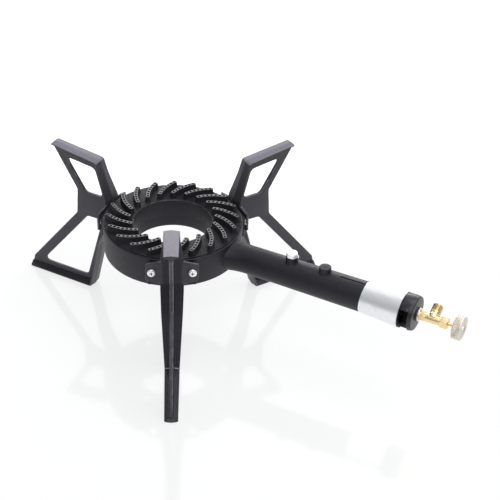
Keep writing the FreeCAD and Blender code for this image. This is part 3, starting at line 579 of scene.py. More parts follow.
class Shell:
    """Collects surfaces in millimetres round the ring axis and makes one piece of them."""

    def __init__(self) -> None:
        """Starts empty."""
        self.points: list[Array] = []
        self.faces: list[list[int]] = []
        self.marks: list[int] = []
        self.count = 0

    def add(self, points: Array, blocks: Sequence[Any], mark: Any = 0) -> None:
        """Adds points with their faces.

        Args:
            points: The points, in any grid.
            blocks: Blocks of faces, each a table of point numbers.
            mark: Number of the finish, or one for each face of a single block.
        """
        points = np.asarray(points, float).reshape(-1, 3)
        for block in blocks:
            faces = (np.asarray(block) + self.count).tolist()
            self.faces += faces
            self.marks += np.broadcast_to(np.ravel(mark), len(faces)).tolist()
        self.points.append(points)
        self.count += len(points)

    def grid(
        self, surface: Array, round_: bool = True, ring: bool = False, ends: bool = False, mark: Any = 0
    ) -> None:
        """Adds a surface given on a grid.

        Args:
            surface: Points as rows by columns.
            round_: True where the last row meets the first.
            ring: True where the last column meets the first.
            ends: True where the first and the last row are closed by a flat face each.
            mark: Number of the finish, or one for each face as rows by columns.
        """
        table = numbers(surface)
        self.add(surface, [quads(table, round_, ring)], mark)
        if ends:
            self.add(surface, [table[:1, ::-1], table[-1:]])

    def plate(
        self,
        loops: Sequence[Array],
        thickness: float,
        edge: float,
        place: Spindle,
        marks: Sequence[int] = (0, 1),
    ) -> None:
        """Adds a flat plate with rounded edges, cut out along closed loops.

        Each point is length along the place's axis for the thickness, and its side and rise for the loop.

        Args:
            loops: The outline and any holes, as rows of side and rise.
            thickness: Thickness, half on each side of the place's origin.
            edge: Rounding of the edges.
            place: Where the plate lies.
            marks: Numbers of the finishes of the faces and of the rounded edges.
        """
        wall_lean, face_lean = 0.2, 0.97
        curve = bpy.data.curves.new("outline", "CURVE")
        curve.dimensions = "2D"
        curve.fill_mode = "BOTH"
        for loop in loops:
            spline = curve.splines.new("POLY")
            spline.points.add(len(loop) - 1)
            flat = np.hstack([loop, np.zeros((len(loop), 1)), np.ones((len(loop), 1))])
            spline.points.foreach_set("co", flat.ravel())
            spline.use_cyclic_u = True
        curve.extrude = thickness / 2 - edge
        curve.bevel_depth = edge
        curve.bevel_resolution = 2
        curve.offset = -edge
        holder = bpy.data.objects.new("outline", curve)
        mesh = bpy.data.meshes.new_from_object(holder)
        points = np.empty((len(mesh.vertices), 3))
        mesh.vertices.foreach_get("co", points.ravel())
        normals = np.empty((len(mesh.polygons), 3))
        mesh.polygons.foreach_get("normal", normals.ravel())
        upright = np.abs(normals[:, 2])
        before = len(self.marks)
        blocks = [[list(polygon.vertices)] for polygon in mesh.polygons]
        self.add(place.placed(points[:, 2], points[:, 0], points[:, 1]), blocks)
        # The rounded edges take the second finish: on the pads, webs and ears this is wear with a painted
        # highlight.
        is_edge = (upright > wall_lean) & (upright < face_lean)
        self.marks[before:] = np.where(is_edge, marks[1], marks[0]).tolist()
        bpy.data.objects.remove(holder)
        bpy.data.curves.remove(curve)
        bpy.data.meshes.remove(mesh)

    def make_piece(self, tag: Tag, finishes: Finishes) -> None:
        """Makes the piece, with merged points, outward faces and smooth shading up to sharp edges.

        Args:
            tag: What the piece is called, made of and stands for.
            finishes: All finishes.
        """
        mesh = bpy.data.meshes.new(tag.piece)
        points = (np.concatenate(self.points) + (RING_X, 0.0, 0.0)) * MM
        mesh.from_pydata(points.tolist(), [], self.faces)
        mesh.polygons.foreach_set("material_index", self.marks)
        work = bmesh.new()
        work.from_mesh(mesh)
        bmesh.ops.remove_doubles(work, verts=work.verts, dist=MERGE_MM * MM)
        bmesh.ops.recalc_face_normals(work, faces=work.faces)
        work.to_mesh(mesh)
        work.free()
        for name in tag.finishes:
            mesh.materials.append(finishes[name])
        mesh.shade_smooth()
        mesh.set_sharp_from_angle(angle=math.radians(tag.sharp))
        made = put_in_scene(tag.piece, mesh)
        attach(made, tag.body.value)
        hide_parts(tag.node)
        log.info("%s: %d faces", tag.piece, len(mesh.polygons))


@dataclass
class Part:
    """A part of the stove that becomes one piece, from the surfaces in its shell."""

    tag: Tag
    shell: Shell = field(init=False, default_factory=Shell)

    def fill(self) -> None:
        """Adds the surfaces of the part to its shell."""
        raise NotImplementedError

    def build(self, finishes: Finishes) -> None:
        """Builds the part and dresses it."""
        self.fill()
        self.shell.make_piece(self.tag, finishes)


@dataclass(frozen=True)
class Lathe:
    """A profile of lengths along an axis and radii, the rounding of its corners, and how it is turned.

    A closed profile leads back to its start. Flats cut a hexagon with a corner at the start angle.
    """

    profile: Sequence[tuple[float, float]]
    radii: Sequence[float] | None
    steps: int = 4
    segments: int = 96
    closed: bool = False
    flats: float = 0.0
    start: float = 0.0
    sweep: float = 360.0

    def add(self, shell: Shell, place: Spindle) -> None:
        """Rounds the profile, turns it and adds it.

        Args:
            shell: What it is added to.
            place: The axis.
        """
        line = self.profile
        if self.radii is not None:
            line = rounded(line, self.radii, self.steps, self.closed)
        surface = place.turned(line, self.segments, self.start, self.sweep, self.flats)
        whole = self.sweep == 360.0
        shell.grid(surface, round_=whole, ring=self.closed, ends=not whole)


def air_wall(inner: float, outer: float, start: float, end: float) -> Lathe:
    """Gives the round wall beside the air window, between two radii and two places along the tube."""
    corners = ((start, inner), (start, outer), (end, outer), (end, inner))
    return Lathe(corners, (0.3, 0.5, 0.05, 0.05), 3, closed=True, start=AIR_WALL_START, sweep=AIR_WALL_SWEEP)


@dataclass
class TurnedPart(Part):
    """A part with surfaces that are turned about one axis."""

    place: Spindle
    cuts: Sequence[Lathe]

    def fill(self) -> None:
        """Adds every profile."""
        for cut in self.cuts:
            cut.add(self.shell, self.place)


@dataclass
class Leg(Part):
    """One cast leg: a roofed flange along its inner edge, a flat web with two windows, and two ears."""

    turn: float
    thickness: float = 4.6
    web: float = 4.5
    web_edge: float = 0.7
    ear_thickness: float = 2.8
    ear_edge: float = 0.6
    hole_radius: float = 5.6
    hole_shift: float = -0.9
    arm_height: float = 200.5
    heel_height: float = 1.5
    heel_reach: float = 125.5

    RUBBED, BARE, SHADED = 2, 3, 4

    def fill(self) -> None:
        """Adds the flange, the web and the ears."""
        self.add_flange()
        self.add_web()
        self.add_ears()

    def add_flange(self) -> None:
        """Adds the flange: its section, wide as the leg is there, carried along two matching edge lines.

        A section point at depth d lies on the line from the outer edge to the inner edge, at d over the
        thickness. Its roof falls evenly from the middle, and a hollow leads over to the web. The top of the
        arm is rubbed by pans with a painted highlight, the bend at the heel is worn bare, and the hollows
        beside the web are darkened as painted shade.
        """
        # Reach and height of the outer edge, the same of the inner edge, half width, and fall of the roof.
        corners = (
            (226.0, 0.0, 226.0, 4.6, 6.5, 0.8), (224.6, 0.0, 224.6, 4.6, 8.5, 0.8),
            (124.0, 0.0, 127.7, 4.6, 9.6, 1.0), (107.5, 76.0, 112.1, 77.0, 13.6, 1.4),
            (93.4, 105.0, 98.5, 105.0, 14.75, 1.6), (90.5, 111.0, 95.1, 112.0, 14.75, 1.7),
            (90.5, 148.7, 95.1, 148.7, 14.75, 1.9), (101.4, 181.0, 106.3, 181.0, 10.6, 1.9),
            (108.5, 202.0, 112.0, 197.4, 9.9, 0.9), (178.5, 210.75, 178.5, 206.2, 8.8, 0.9),
        )
        spine = rounded(corners, (0, 0, 5, 25, 4, 6, 9, 6, 5, 0), closed=False)
        # Share of the half width and what is added to it, share of the roof's fall and depth below it.
        half = np.array((
            (0.0, 0.0, 0.0, 0.0), (0.0, 0.35, 0.04, 0.0), (1.0, -0.8, 0.92, 0.0), (1.0, -0.3, 0.97, 0.0),
            (1.0, -0.05, 1.0, 0.2), (1.0, 0.0, 1.0, 0.45), (1.0, 0.0, 1.0, 1.3), (1.0, -0.15, 1.0, 1.55),
            (1.0, -0.45, 1.0, 1.7), (0.55, 1.2, 1.0, 2.8), (0.1, 4.0, 1.0, 3.1), (0.0, 3.8, 1.0, 3.5),
            (0.0, 3.2, 1.0, 4.1), (0.0, 2.85, 1.0, 4.9), (0.0, 2.7, 1.0, 5.8),
        ))
        roof_end, hollow_start, heel_end = 4, 7, 13
        section = np.vstack([half, half[:0:-1] * (-1.0, -1.0, 1.0, 1.0)])
        across = section[:, 0] * spine[:, 4:5] + section[:, 1]
        depth = (section[:, 2] * spine[:, 5:6] + section[:, 3]) / self.thickness
        reach = spine[:, 0:1] + (spine[:, 2:3] - spine[:, 0:1]) * depth
        height = spine[:, 1:2] + (spine[:, 3:4] - spine[:, 1:2]) * depth
        surface = rotated(np.stack([reach, across, height], -1), self.turn)
        middle = (spine[1:] + spine[:-1])[:, None] / 2
        column = np.arange(len(section))
        row = np.minimum(column, column[::-1])
        on_arm = middle[..., 1] > self.arm_height
        # The top faces of the arm get the pale finish: wear with a painted highlight.
        arm = on_arm & (row < roof_end)
        at_heel = (middle[..., 1] < self.heel_height) & (middle[..., 0] < self.heel_reach)
        heel = at_heel & (row > hollow_start) & (row < heel_end)
        # The hollows beside the web take the darker iron as painted shade.
        hollow = ~on_arm & (row > hollow_start) & ~heel
        marks = arm * self.RUBBED + heel * self.BARE + hollow * self.SHADED
        self.shell.grid(surface, round_=False, ring=True, ends=True, mark=marks)

    def add_web(self) -> None:
        """Adds the web with its two windows, thinned evenly towards the foot."""
        outline = rounded(
            ((225.6, 2.3), (225, 4.6), (223.2, 15.2), (147, 111), (145, 148), (178.2, 202), (178.2, 208),
             (110.8, 199.7), (92.8, 148.7), (92.8, 111), (109.8, 76), (126.3, 2.3)),
            (0.5, 1, 6, 9, 6, 2, 1, 5, 5, 5, 20, 3),
        )
        upper = rounded(((161.8, 192.8), (116.6, 187.4), (105.0, 146.6), (132.0, 146.6)), (5.5, 9, 6, 9), 8)
        lower = rounded(((130.6, 110.3), (107.6, 110.6), (134.4, 13.8), (207.6, 14.2)), (7, 5, 8, 6), 8)
        facing = across_leg(self.turn, 0.0)
        place = Spindle(facing.origin, tuple(-part for part in facing.side), facing.along)
        self.shell.plate((outline, upper, lower), self.web, self.web_edge, place)
        points = self.shell.points[-1]
        squeeze = np.interp(points[:, 2], (15, 120), (0.72, 1.0))
        points += np.outer((points @ place.along) * (squeeze - 1), place.along)

    def add_ears(self) -> None:
        """Adds the two ears as one plate behind the web, with the holes of the screws."""
        right = ((14, 111), (33, 117.5), (33, 141.2), (14, 145.5))
        left = tuple((-side, height) for side, height in right[::-1])
        outline = rounded(left + right, (2, 1.2, 1.8, 2, 2, 1.8, 1.2, 2))
        turn = np.linspace(0, 2 * math.pi, 32, endpoint=False)
        ring = self.hole_radius * np.stack([np.cos(turn), np.sin(turn)], -1)
        holes = [
            ring + (side + self.hole_shift, EAR_SCREW_HEIGHT) for side in (-EAR_SCREW_SIDE, EAR_SCREW_SIDE)
        ]
        place = across_leg(self.turn, EAR_FACE - self.ear_thickness / 2)
        self.shell.plate((outline, *holes), self.ear_thickness, self.ear_edge, place)


@dataclass
class RingCasting(Part):
    """The lower casting: ring trough, leg pads, mixing tube with its two bosses, and the spigot."""

    ring_radius: float = 90.0
    base_radius: float = 88.3
    rim: float = 143.5
    wall: float = 5.0
    lip: float = 2.5
    pad_reach: float = 86.5
    pad_thickness: float = 8.0
    tube_start: float = 82.0
    root_end: float = 114.0
    root_spread: float = 7.5
    root_rise: float = 2.0
    neck: tuple[float, float] = (107.0, 18.3)
    flare: tuple[float, float] = (270.0, 19.5)
    mouth: tuple[float, float] = (323.2, 22.55)
    spigot_end: float = 334.5
    spigot_radius: float = 19.92
    bore: float = 17.0
    bore_end: float = 300.0
    plain_boss: float = 216.5
    boss_radius: float = 7.5
    groove_start: float = 237.0
    groove_angle: float = 93.0
    groove_half: float = 3.0
    groove_depth: float = 1.3
    bridge: float = 329.2

    PAINTED_SHADE = 2

    def fill(self) -> None:
        """Adds the trough, the pads, the tube, the bosses, the spigot and the bridge."""
        self.add_trough()
        self.add_pads()
        self.add_tube()
        self.add_boss(BOSS_REACH, drilled=True)
        self.add_boss(self.plain_boss, drilled=False)
        air_wall(self.bore, self.spigot_radius, self.mouth[0] - 1.0, self.spigot_end).add(self.shell, TUBE)
        self.add_bridge()

    def add_trough(self) -> None:
        """Adds the trough: a closed section turned about the ring axis."""
        inner, outer, floor = HOLE_RADIUS, self.ring_radius, RING_BASE + self.wall
        corners = (
            (RING_BASE, inner), (RING_BASE, self.base_radius), (self.rim, outer),
            (self.rim, outer - self.lip), (SEAT, outer - self.lip), (SEAT, outer - self.wall),
            (floor, outer - self.wall), (floor, inner + self.wall), (SEAM, inner + self.wall), (SEAM, inner),
        )
        radii = (4.5, 2.6, 0.9, 0.3, 0.3, 0.3, 3, 1.0, 0.3, 0.1)
        Lathe(corners, radii, segments=RING_STEPS, closed=True).add(self.shell, RING)

    def add_pads(self) -> None:
        """Adds the three flat pads that the legs are bolted to."""
        outline = rounded(((-31, 108), (31, 108), (31, 138), (-31, 138)), 3)
        for turn in LEG_TURNS.values():
            self.shell.plate((outline,), self.pad_thickness, 0.8, across_leg(turn, self.pad_reach))

    def add_tube(self) -> None:
        """Adds the tube: ellipses along the tube axis that spread into the ring wall.

        With f = ((root end - x) / root length)^2 near the ring and 0 past it, the half width is
        r(x) + spread f and the half height r(x) + rise f. A narrow groove on top leads under the foil.
        """
        # Start, end and number of rows of each stretch, close together where the groove begins.
        stretches = (
            (self.tube_start, self.root_end, 26), (self.root_end, 234, 28),
            (236, 240, 7), (244, self.mouth[0], 24),
        )
        along = np.unique(np.concatenate([np.linspace(*stretch) for stretch in stretches]))
        crowd = self.groove_angle + np.linspace(-4.5, 4.5, 19)
        rest = np.linspace(crowd[-1], crowd[0] + 360, 120)[1:-1]
        degrees = np.concatenate([crowd, rest])[:, None]
        knots = np.array((self.neck, self.flare, self.mouth))
        share = ramp(self.root_end - along, self.root_end - self.tube_start) ** 2
        in_groove = ramp(along - self.groove_start, 1.5) * (along < self.mouth[0] - 1)
        in_groove = in_groove * ramp(self.groove_half - np.abs(degrees - self.groove_angle), 0.7)
        radius = np.interp(along, knots[:, 0], knots[:, 1]) - self.groove_depth * in_groove
        turn = np.radians(degrees)
        half_width, half_height = radius + self.root_spread * share, radius + self.root_rise * share
        self.shell.grid(TUBE.placed(along, half_width * np.cos(turn), half_height * np.sin(turn)))
        self.shell.grid(TUBE.turned(((self.tube_start, 6.0), (self.tube_start, self.neck[1] + 2.0)), 64))
        end = self.bore_end
        rim = TUBE.turned((self.mouth, (self.mouth[0], self.bore), (end, self.bore - 1.0), (end, 0.0)), 96)
        self.shell.grid(rim[:, :2])
        # The bore inside the tube mouth is painted near-black as shade.
        self.shell.grid(rim[:, 1:], mark=self.PAINTED_SHADE)

    def add_boss(self, reach: float, drilled: bool) -> None:
        """Adds a round boss that spreads a little at its foot.

        Args:
            reach: Place along the tube.
            drilled: True for the hole of the bolt, False for a small dimple.
        """
        top, radius = BOSS_TOP, self.boss_radius
        bolt_hole, dimple = ((top - 6, 3.95), (top, 4.1)), ((top - 0.6, 0.7), (top, 1.4))
        middle = ((top - 6, 0.0), *bolt_hole) if drilled else ((top - 0.7, 0.0), *dimple)
        body = ((top, radius), (143.2, radius + 0.1), (140.2, 8.3), (138.0, 10.5), (132.0, 9.0), (132.0, 0.0))
        boss = Lathe(middle + body, (0, 0, 0, 0.7, 1.5, 3, 0, 0, 0), segments=64)
        boss.add(self.shell, RING.at(reach, 0.0, 0.0))

    def add_bridge(self) -> None:
        """Adds the bridge across the tube mouth that carries the valve, in near-black painted shade."""
        outline = rounded(((-4, -17.5), (4, -17.5), (4, 17.5), (-4, 17.5)), 0.5)
        self.shell.plate((outline,), 10.4, 0.3, TUBE.at(self.bridge, 0.0, TUBE_Z), (self.PAINTED_SHADE, self.PAINTED_SHADE))


@dataclass
class BurnerHead(Part):
    """The ring lid with its swirl ridges and gas ports."""

    ridges: int = 20
    height: float = 8.0
    deck: float = 144.5
    lid_radius: float = 87.4
    wall: float = 5.0
    post_radius: float = 5.0
    centre: tuple[float, float] = (31.9, -44.0)
    arc: float = 60.3
    middle_angle: float = 50.8
    length: float = 39.6
    top_half: float = 2.3
    end_round: float = 0.9
    ports: int = 7
    port_pitch: float = 5.4726
    port_radius: float = 1.5
    port_depth: float = 5.0

    GROUND, PAINTED_SHADE, INSIDE, RIM = 1, 2, 3, 4

    def fill(self) -> None:
        """Adds the lid with its darker inner wall and a painted highlight on its inner edge, the posts and
        the ridges.
        """
        inner = HOLE_RADIUS + self.wall
        section = rounded(
            ((SEAM, HOLE_RADIUS), (SEAM, inner), (SEAT, inner), (SEAT, self.lid_radius),
             (self.deck, self.lid_radius), (self.deck, HOLE_RADIUS)),
            (0.1, 0.3, 3, 0.3, 0.35, 2.2),
        )
        wall = np.roll(section, -1, axis=0)[:, 1] + section[:, 1] < 2 * HOLE_RADIUS + 0.3
        # The rounded inner top edge takes the paler finish as a painted highlight.
        edge = ~wall & (section[:, 0] > self.deck - 1.2) & (section[:, 1] < HOLE_RADIUS + 1.2)
        marks = np.tile(wall * self.INSIDE + edge * self.RIM, (RING_STEPS, 1))
        self.shell.grid(RING.turned(section, RING_STEPS), ring=True, mark=marks)
        self.add_posts()
        for number in range(self.ridges):
            self.add_ridge(360.0 / self.ridges * number)

    def add_posts(self) -> None:
        """Adds the three posts under the lid that its screws go into."""
        corners = ((108.0, 0.0), (108.0, self.post_radius), (139.5, self.post_radius), (139.5, 0.0))
        for turn in LID_SCREW_TURNS:
            foot = rotated(np.array((LID_SCREW_REACH, 0.0, 0.0)), turn)
            Lathe(corners, (0, 0.6, 0, 0), 3, 32).add(self.shell, RING.at(*foot))

    def on_arc(self, points: Array, turn: float) -> Array:
        """Bends points of length, width and height onto the swirl arc and turns them about the ring axis.

        The angle on the arc is its middle plus length over the arc's radius, and the radius there is the
        arc's plus the width.

        Args:
            points: Length, width and height in the last axis.
            turn: Degrees about the ring axis.

        Returns:
            The bent points.
        """
        angle = math.radians(self.middle_angle) + points[..., 0] / self.arc
        radius = self.arc + points[..., 1]
        x = self.centre[0] + radius * np.cos(angle)
        y = self.centre[1] + radius * np.sin(angle)
        return rotated(np.stack([x, y, self.deck + points[..., 2]], -1), turn)

    def add_ridge(self, turn: float) -> None:
        """Adds one ridge: cells round the ports on top, the port walls, and the sloping sides.

        A cell runs from the port's circle, at the angles of its border points, out to a rectangle. The outer
        ends are rounded by the cube of the width's share. The sides go down from the border of all cells,
        moved out by the slope.

        Args:
            turn: Degrees about the ring axis.
        """
        zeros = np.zeros(self.ports)
        along = (np.arange(self.ports) - (self.ports - 1) / 2) * self.port_pitch
        walls = np.concatenate([[-self.length / 2], (along[1:] + along[:-1]) / 2, [self.length / 2]])
        side, ones = np.linspace(-1, 1, 5)[:-1], np.ones(4)
        edges = ((side, -ones), (ones, side), (-side, ones), (-ones, -side))
        square = np.vstack([np.stack(edge, -1) for edge in edges])
        half_cell = np.stack([(walls[1:] - walls[:-1]) / 2, zeros + self.top_half], -1)[:, None]
        border = square * half_cell + np.stack([(walls[1:] + walls[:-1]) / 2, zeros], -1)[:, None]
        at_end = np.abs(border[..., 0]) > self.length / 2 - 0.01
        bend = self.end_round * np.abs(border[..., 1] / self.top_half) ** 3
        border[..., 0] -= at_end * np.sign(border[..., 0]) * bend
        hub = np.stack([along, zeros], -1)[:, None]
        out = border - hub
        ring = self.port_radius * out / np.linalg.norm(out, axis=-1, keepdims=True)
        steps = (
            (border, self.height),
            (hub + ring * 1.1, self.height),
            (hub + ring, self.height - 0.1),
            (hub + ring, self.height - self.port_depth),
        )
        levels = [np.concatenate([flat, np.full((*flat.shape[:2], 1), up)], -1) for flat, up in steps]
        for cell in self.on_arc(np.stack(levels, 2), turn):
            table = numbers(cell)
            self.shell.add(cell, [quads(table[:, :2], True)], self.GROUND)
            # The port walls and floors are painted near-black as shade.
            self.shell.add(cell, [quads(table[:, 1:], True), table[None, :, -1]], self.PAINTED_SHADE)
        self.add_sides(border, turn)

    def add_sides(self, border: Array, turn: float) -> None:
        """Adds the sides of a ridge, from the border of its cells down into the lid.

        Args:
            border: Border points of the cells, four on each side of a cell.
            turn: Degrees about the ring axis.
        """
        low = border[:, 0:4].reshape(-1, 2)
        high = border[::-1, 8:12].reshape(-1, 2)
        loop = np.vstack([low, border[-1, 4:8], high, border[0, 12:16]])
        # Points past these limits are at an end or on a side, and move outwards.
        limits = np.array((self.length / 2 - 1.2, self.top_half - 0.05))
        away = np.sign(loop) * (np.abs(loop) > limits)
        # How far each row lies outside the border and below the top.
        moves = np.array((
            (0.0, 0.0), (0.16, 0.04), (0.3, 0.2), (0.4, 0.5), (1.15, 7.2), (1.6, 8.0), (2.4, 8.6)
        ))
        rows = loop[:, None] + away[:, None] * moves[None, :, :1]
        drop = np.broadcast_to(self.height - moves[None, :, 1], rows.shape[:2])
        surface = self.on_arc(np.concatenate([rows, drop[..., None]], -1), turn)
        self.shell.grid(surface)
        self.shell.add(surface, [numbers(surface)[None, ::-1, -1]])


@dataclass
class PanScrews(Part):
    """Equal pan head screws with a cross recess. The sizes of dome and recess are shares of the head."""

    radius: float
    height: float
    seats: Sequence[Spindle]
    dome: float = 0.40
    slot_half: float = 0.105
    slot_reach: float = 0.48
    hub: float = 0.15
    slot_soft: float = 0.03
    reach_soft: float = 0.06
    recess_depth: float = 0.3
    recess_rise: float = 0.6

    STEPS = 72

    def fill(self) -> None:
        """Adds the screws, each a head with a short shank.

        The top at radius s has the height h (1 - dome (s / R)^7), less the recess: its depth where the
        smaller of |x| and |y| is under the slot's half width and the greater is under its length.
        """
        share = np.concatenate([np.linspace(0, 0.62, 26), np.linspace(0.66, 1, 8)])
        turn = np.linspace(0, 2 * math.pi, self.STEPS, endpoint=False)[:, None]
        x, y = np.abs(share * np.cos(turn)), np.abs(share * np.sin(turn))
        recess = ramp(self.slot_half - np.minimum(x, y), self.slot_soft)
        recess = recess * ramp(self.slot_reach - np.maximum(x, y), self.reach_soft)
        recess = np.maximum(recess, ramp(self.hub - share, self.slot_soft))
        top = 1 - self.dome * share**7 - self.recess_depth * recess * (1 - self.recess_rise * share)
        # Heights and radii below the dome: rim, seat and shank.
        skirt = np.array(((0.4, 1.0), (0.05, 1.0), (0.0, 0.97), (0.0, 0.5), (-1.2, 0.5), (-1.2, 0.0)))
        below = (self.STEPS, len(skirt))
        up = np.hstack([top, np.broadcast_to(skirt[:, 0], below)]) * self.height
        out = np.concatenate([share, skirt[:, 1]]) * self.radius
        # The faces of the cross recess take painted shade.
        recess_shade = np.hstack([recess[:, 1:] + recess[:, :-1] > 1.0, np.zeros(below, bool)])
        for seat in self.seats:
            self.shell.grid(seat.placed(up, out * np.cos(turn), out * np.sin(turn)), mark=recess_shade * 1)


@dataclass
class RatingFoil(Part):
    """The bare foil round the flared tube mouth."""

    start: float = 271.1
    end: float = 322.1
    skew: float = 1.0
    low_radius: float = 19.7
    high_radius: float = 22.78
    thickness: float = 0.25
    seam: float = 300.0
    lap: float = 0.12
    lap_degrees: float = 26.0

    def fill(self) -> None:
        """Adds the foil.

        Both edges lean by the skew times the sine of the angle. The radius grows evenly along the tube, plus
        a lap at the seam, plus creases: the sum of two sines of angle and length, up to 0.05 mm.
        """
        turn = np.linspace(0, 360, 181)[:-1, None]
        share = np.linspace(0, 1, 41)[None, :]
        angle = np.radians(turn)
        along = self.start + (self.end - self.start) * share + self.skew * np.sin(angle)
        creases = 0.03 * np.sin(5 * angle + 9 * share) + 0.02 * np.sin(11 * angle - 14 * share)
        lap = self.lap * (((turn - self.seam) % 360) < self.lap_degrees)
        slope = (self.high_radius - self.low_radius) / (self.end - self.start + 2 * self.skew)
        radius = self.low_radius + slope * (along - self.start + self.skew) + creases + lap
        outer, inner = (
            TUBE.placed(along, face * np.cos(angle), face * np.sin(angle))
            for face in (radius, radius - self.thickness)
        )
        self.shell.grid(np.concatenate([outer, inner[:, ::-1]], axis=1), ring=True)


@dataclass
class Valve(TurnedPart):
    """The brass valve body with its threaded side inlet."""

    inlet_x: float = 360.0
    inlet_rise: float = 25.0
    thread_start: float = 9.3
    inlet_end: float = 18.8
    thread_radius: float = 6.5785
    thread_pitch: float = 1.337
    thread_depth: float = 0.55
    bore: float = 3.0

    PAINTED_SHADE = 1

    def fill(self) -> None:
        """Adds the turned body and the inlet."""
        super().fill()
        self.add_inlet()

    def add_inlet(self) -> None:
        """Adds the inlet: a neck with a shoulder, the thread, and the bore with its cone.

        The thread's radius falls by its depth times a triangle wave of length over pitch plus turn, which
        climbs to the left. It fades out over half a pitch at both ends.
        """
        rise = math.radians(self.inlet_rise)
        place = Spindle((self.inlet_x, 0.0, TUBE_Z), (0.0, math.cos(rise), math.sin(rise)), (1.0, 0.0, 0.0))
        start, end, steps, rows = self.thread_start, self.inlet_end, 96, 80
        radius = self.thread_radius - 0.02
        corners = ((0.0, 0.0), (0.0, 6.9), (4.2, 6.9), (6.4, 6.0), (8.2, 6.5), (start, 6.5), (start, 0.0))
        Lathe(corners, (0, 0, 2.0, 1.5, 0.4, 0.3, 0), segments=steps).add(self.shell, place)
        along = np.linspace(start - 0.1, end - 0.3, rows)
        turn = np.arange(steps)[:, None] / steps
        relief = -self.thread_depth * faded(along, start, end - 0.5, 0.6, 0.5)
        relief = relief * (1 - wave(along / self.thread_pitch + turn))
        self.shell.grid(place.sleeve(along, radius, relief))
        mouth = (
            (end - 0.3, radius), (end, self.thread_radius - 0.5), (end, self.bore + 1.2),
            (end - 1.4, self.bore), (start, self.bore), (start, 0.0),
        )
        face = place.turned(mouth, steps)
        self.shell.grid(face[:, :4])
        # The bore and its cone are painted near-black as shade.
        self.shell.grid(face[:, 3:], mark=self.PAINTED_SHADE)


@dataclass
class Stem(Part):
    """The turned stem between the nut and the knob."""

    start: float = 357.0
    end: float = 396.0
    radius: float = 2.0
    pitch: float = 1.0
    thread_depth: float = 0.22

    def fill(self) -> None:
        """Adds the stem with its thread, a triangle wave of length over pitch minus turn, and its ends."""
        steps, rows = 32, 240
        along = np.linspace(self.start, self.end, rows)
        turn = np.arange(steps)[:, None] / steps
        relief = -self.thread_depth * (1 - wave(along / self.pitch - turn))
        self.shell.grid(TUBE.sleeve(along, self.radius, relief))
        for place in (self.start, self.end):
            self.shell.grid(TUBE.turned(((place, 0.0), (place, self.radius)), steps))


@dataclass
class Knob(TurnedPart):
    """The round knob with its diamond knurl, rim band and dished face."""

    radius: float = 15.2
    knurl_start: float = 389.3
    knurl_end: float = 395.0
    knurl_teeth: int = 50
    knurl_depth: float = 0.75
    knurl_stretch: float = 1.25

    def fill(self) -> None:
        """Adds the knurl, the face and the back.

        The knurl's radius falls by its depth times 1 - min(w1, w2), where w1 and w2 are triangle waves of the
        turn times the teeth, plus and minus the length over the stretched pitch.
        """
        steps, rows = KNOB_STEPS, 34
        pitch = 2 * math.pi * self.radius / self.knurl_teeth
        along = np.linspace(self.knurl_start, self.knurl_end, rows)
        turn = np.arange(steps)[:, None] / steps * self.knurl_teeth
        lean = along / (self.knurl_stretch * pitch)
        relief = -self.knurl_depth * faded(along, along[0], along[-1], 0.5, 0.5)
        relief = relief * (1 - np.minimum(wave(turn + lean), wave(turn - lean)))
        self.shell.grid(TUBE.sleeve(along, self.radius, relief))
        super().fill()


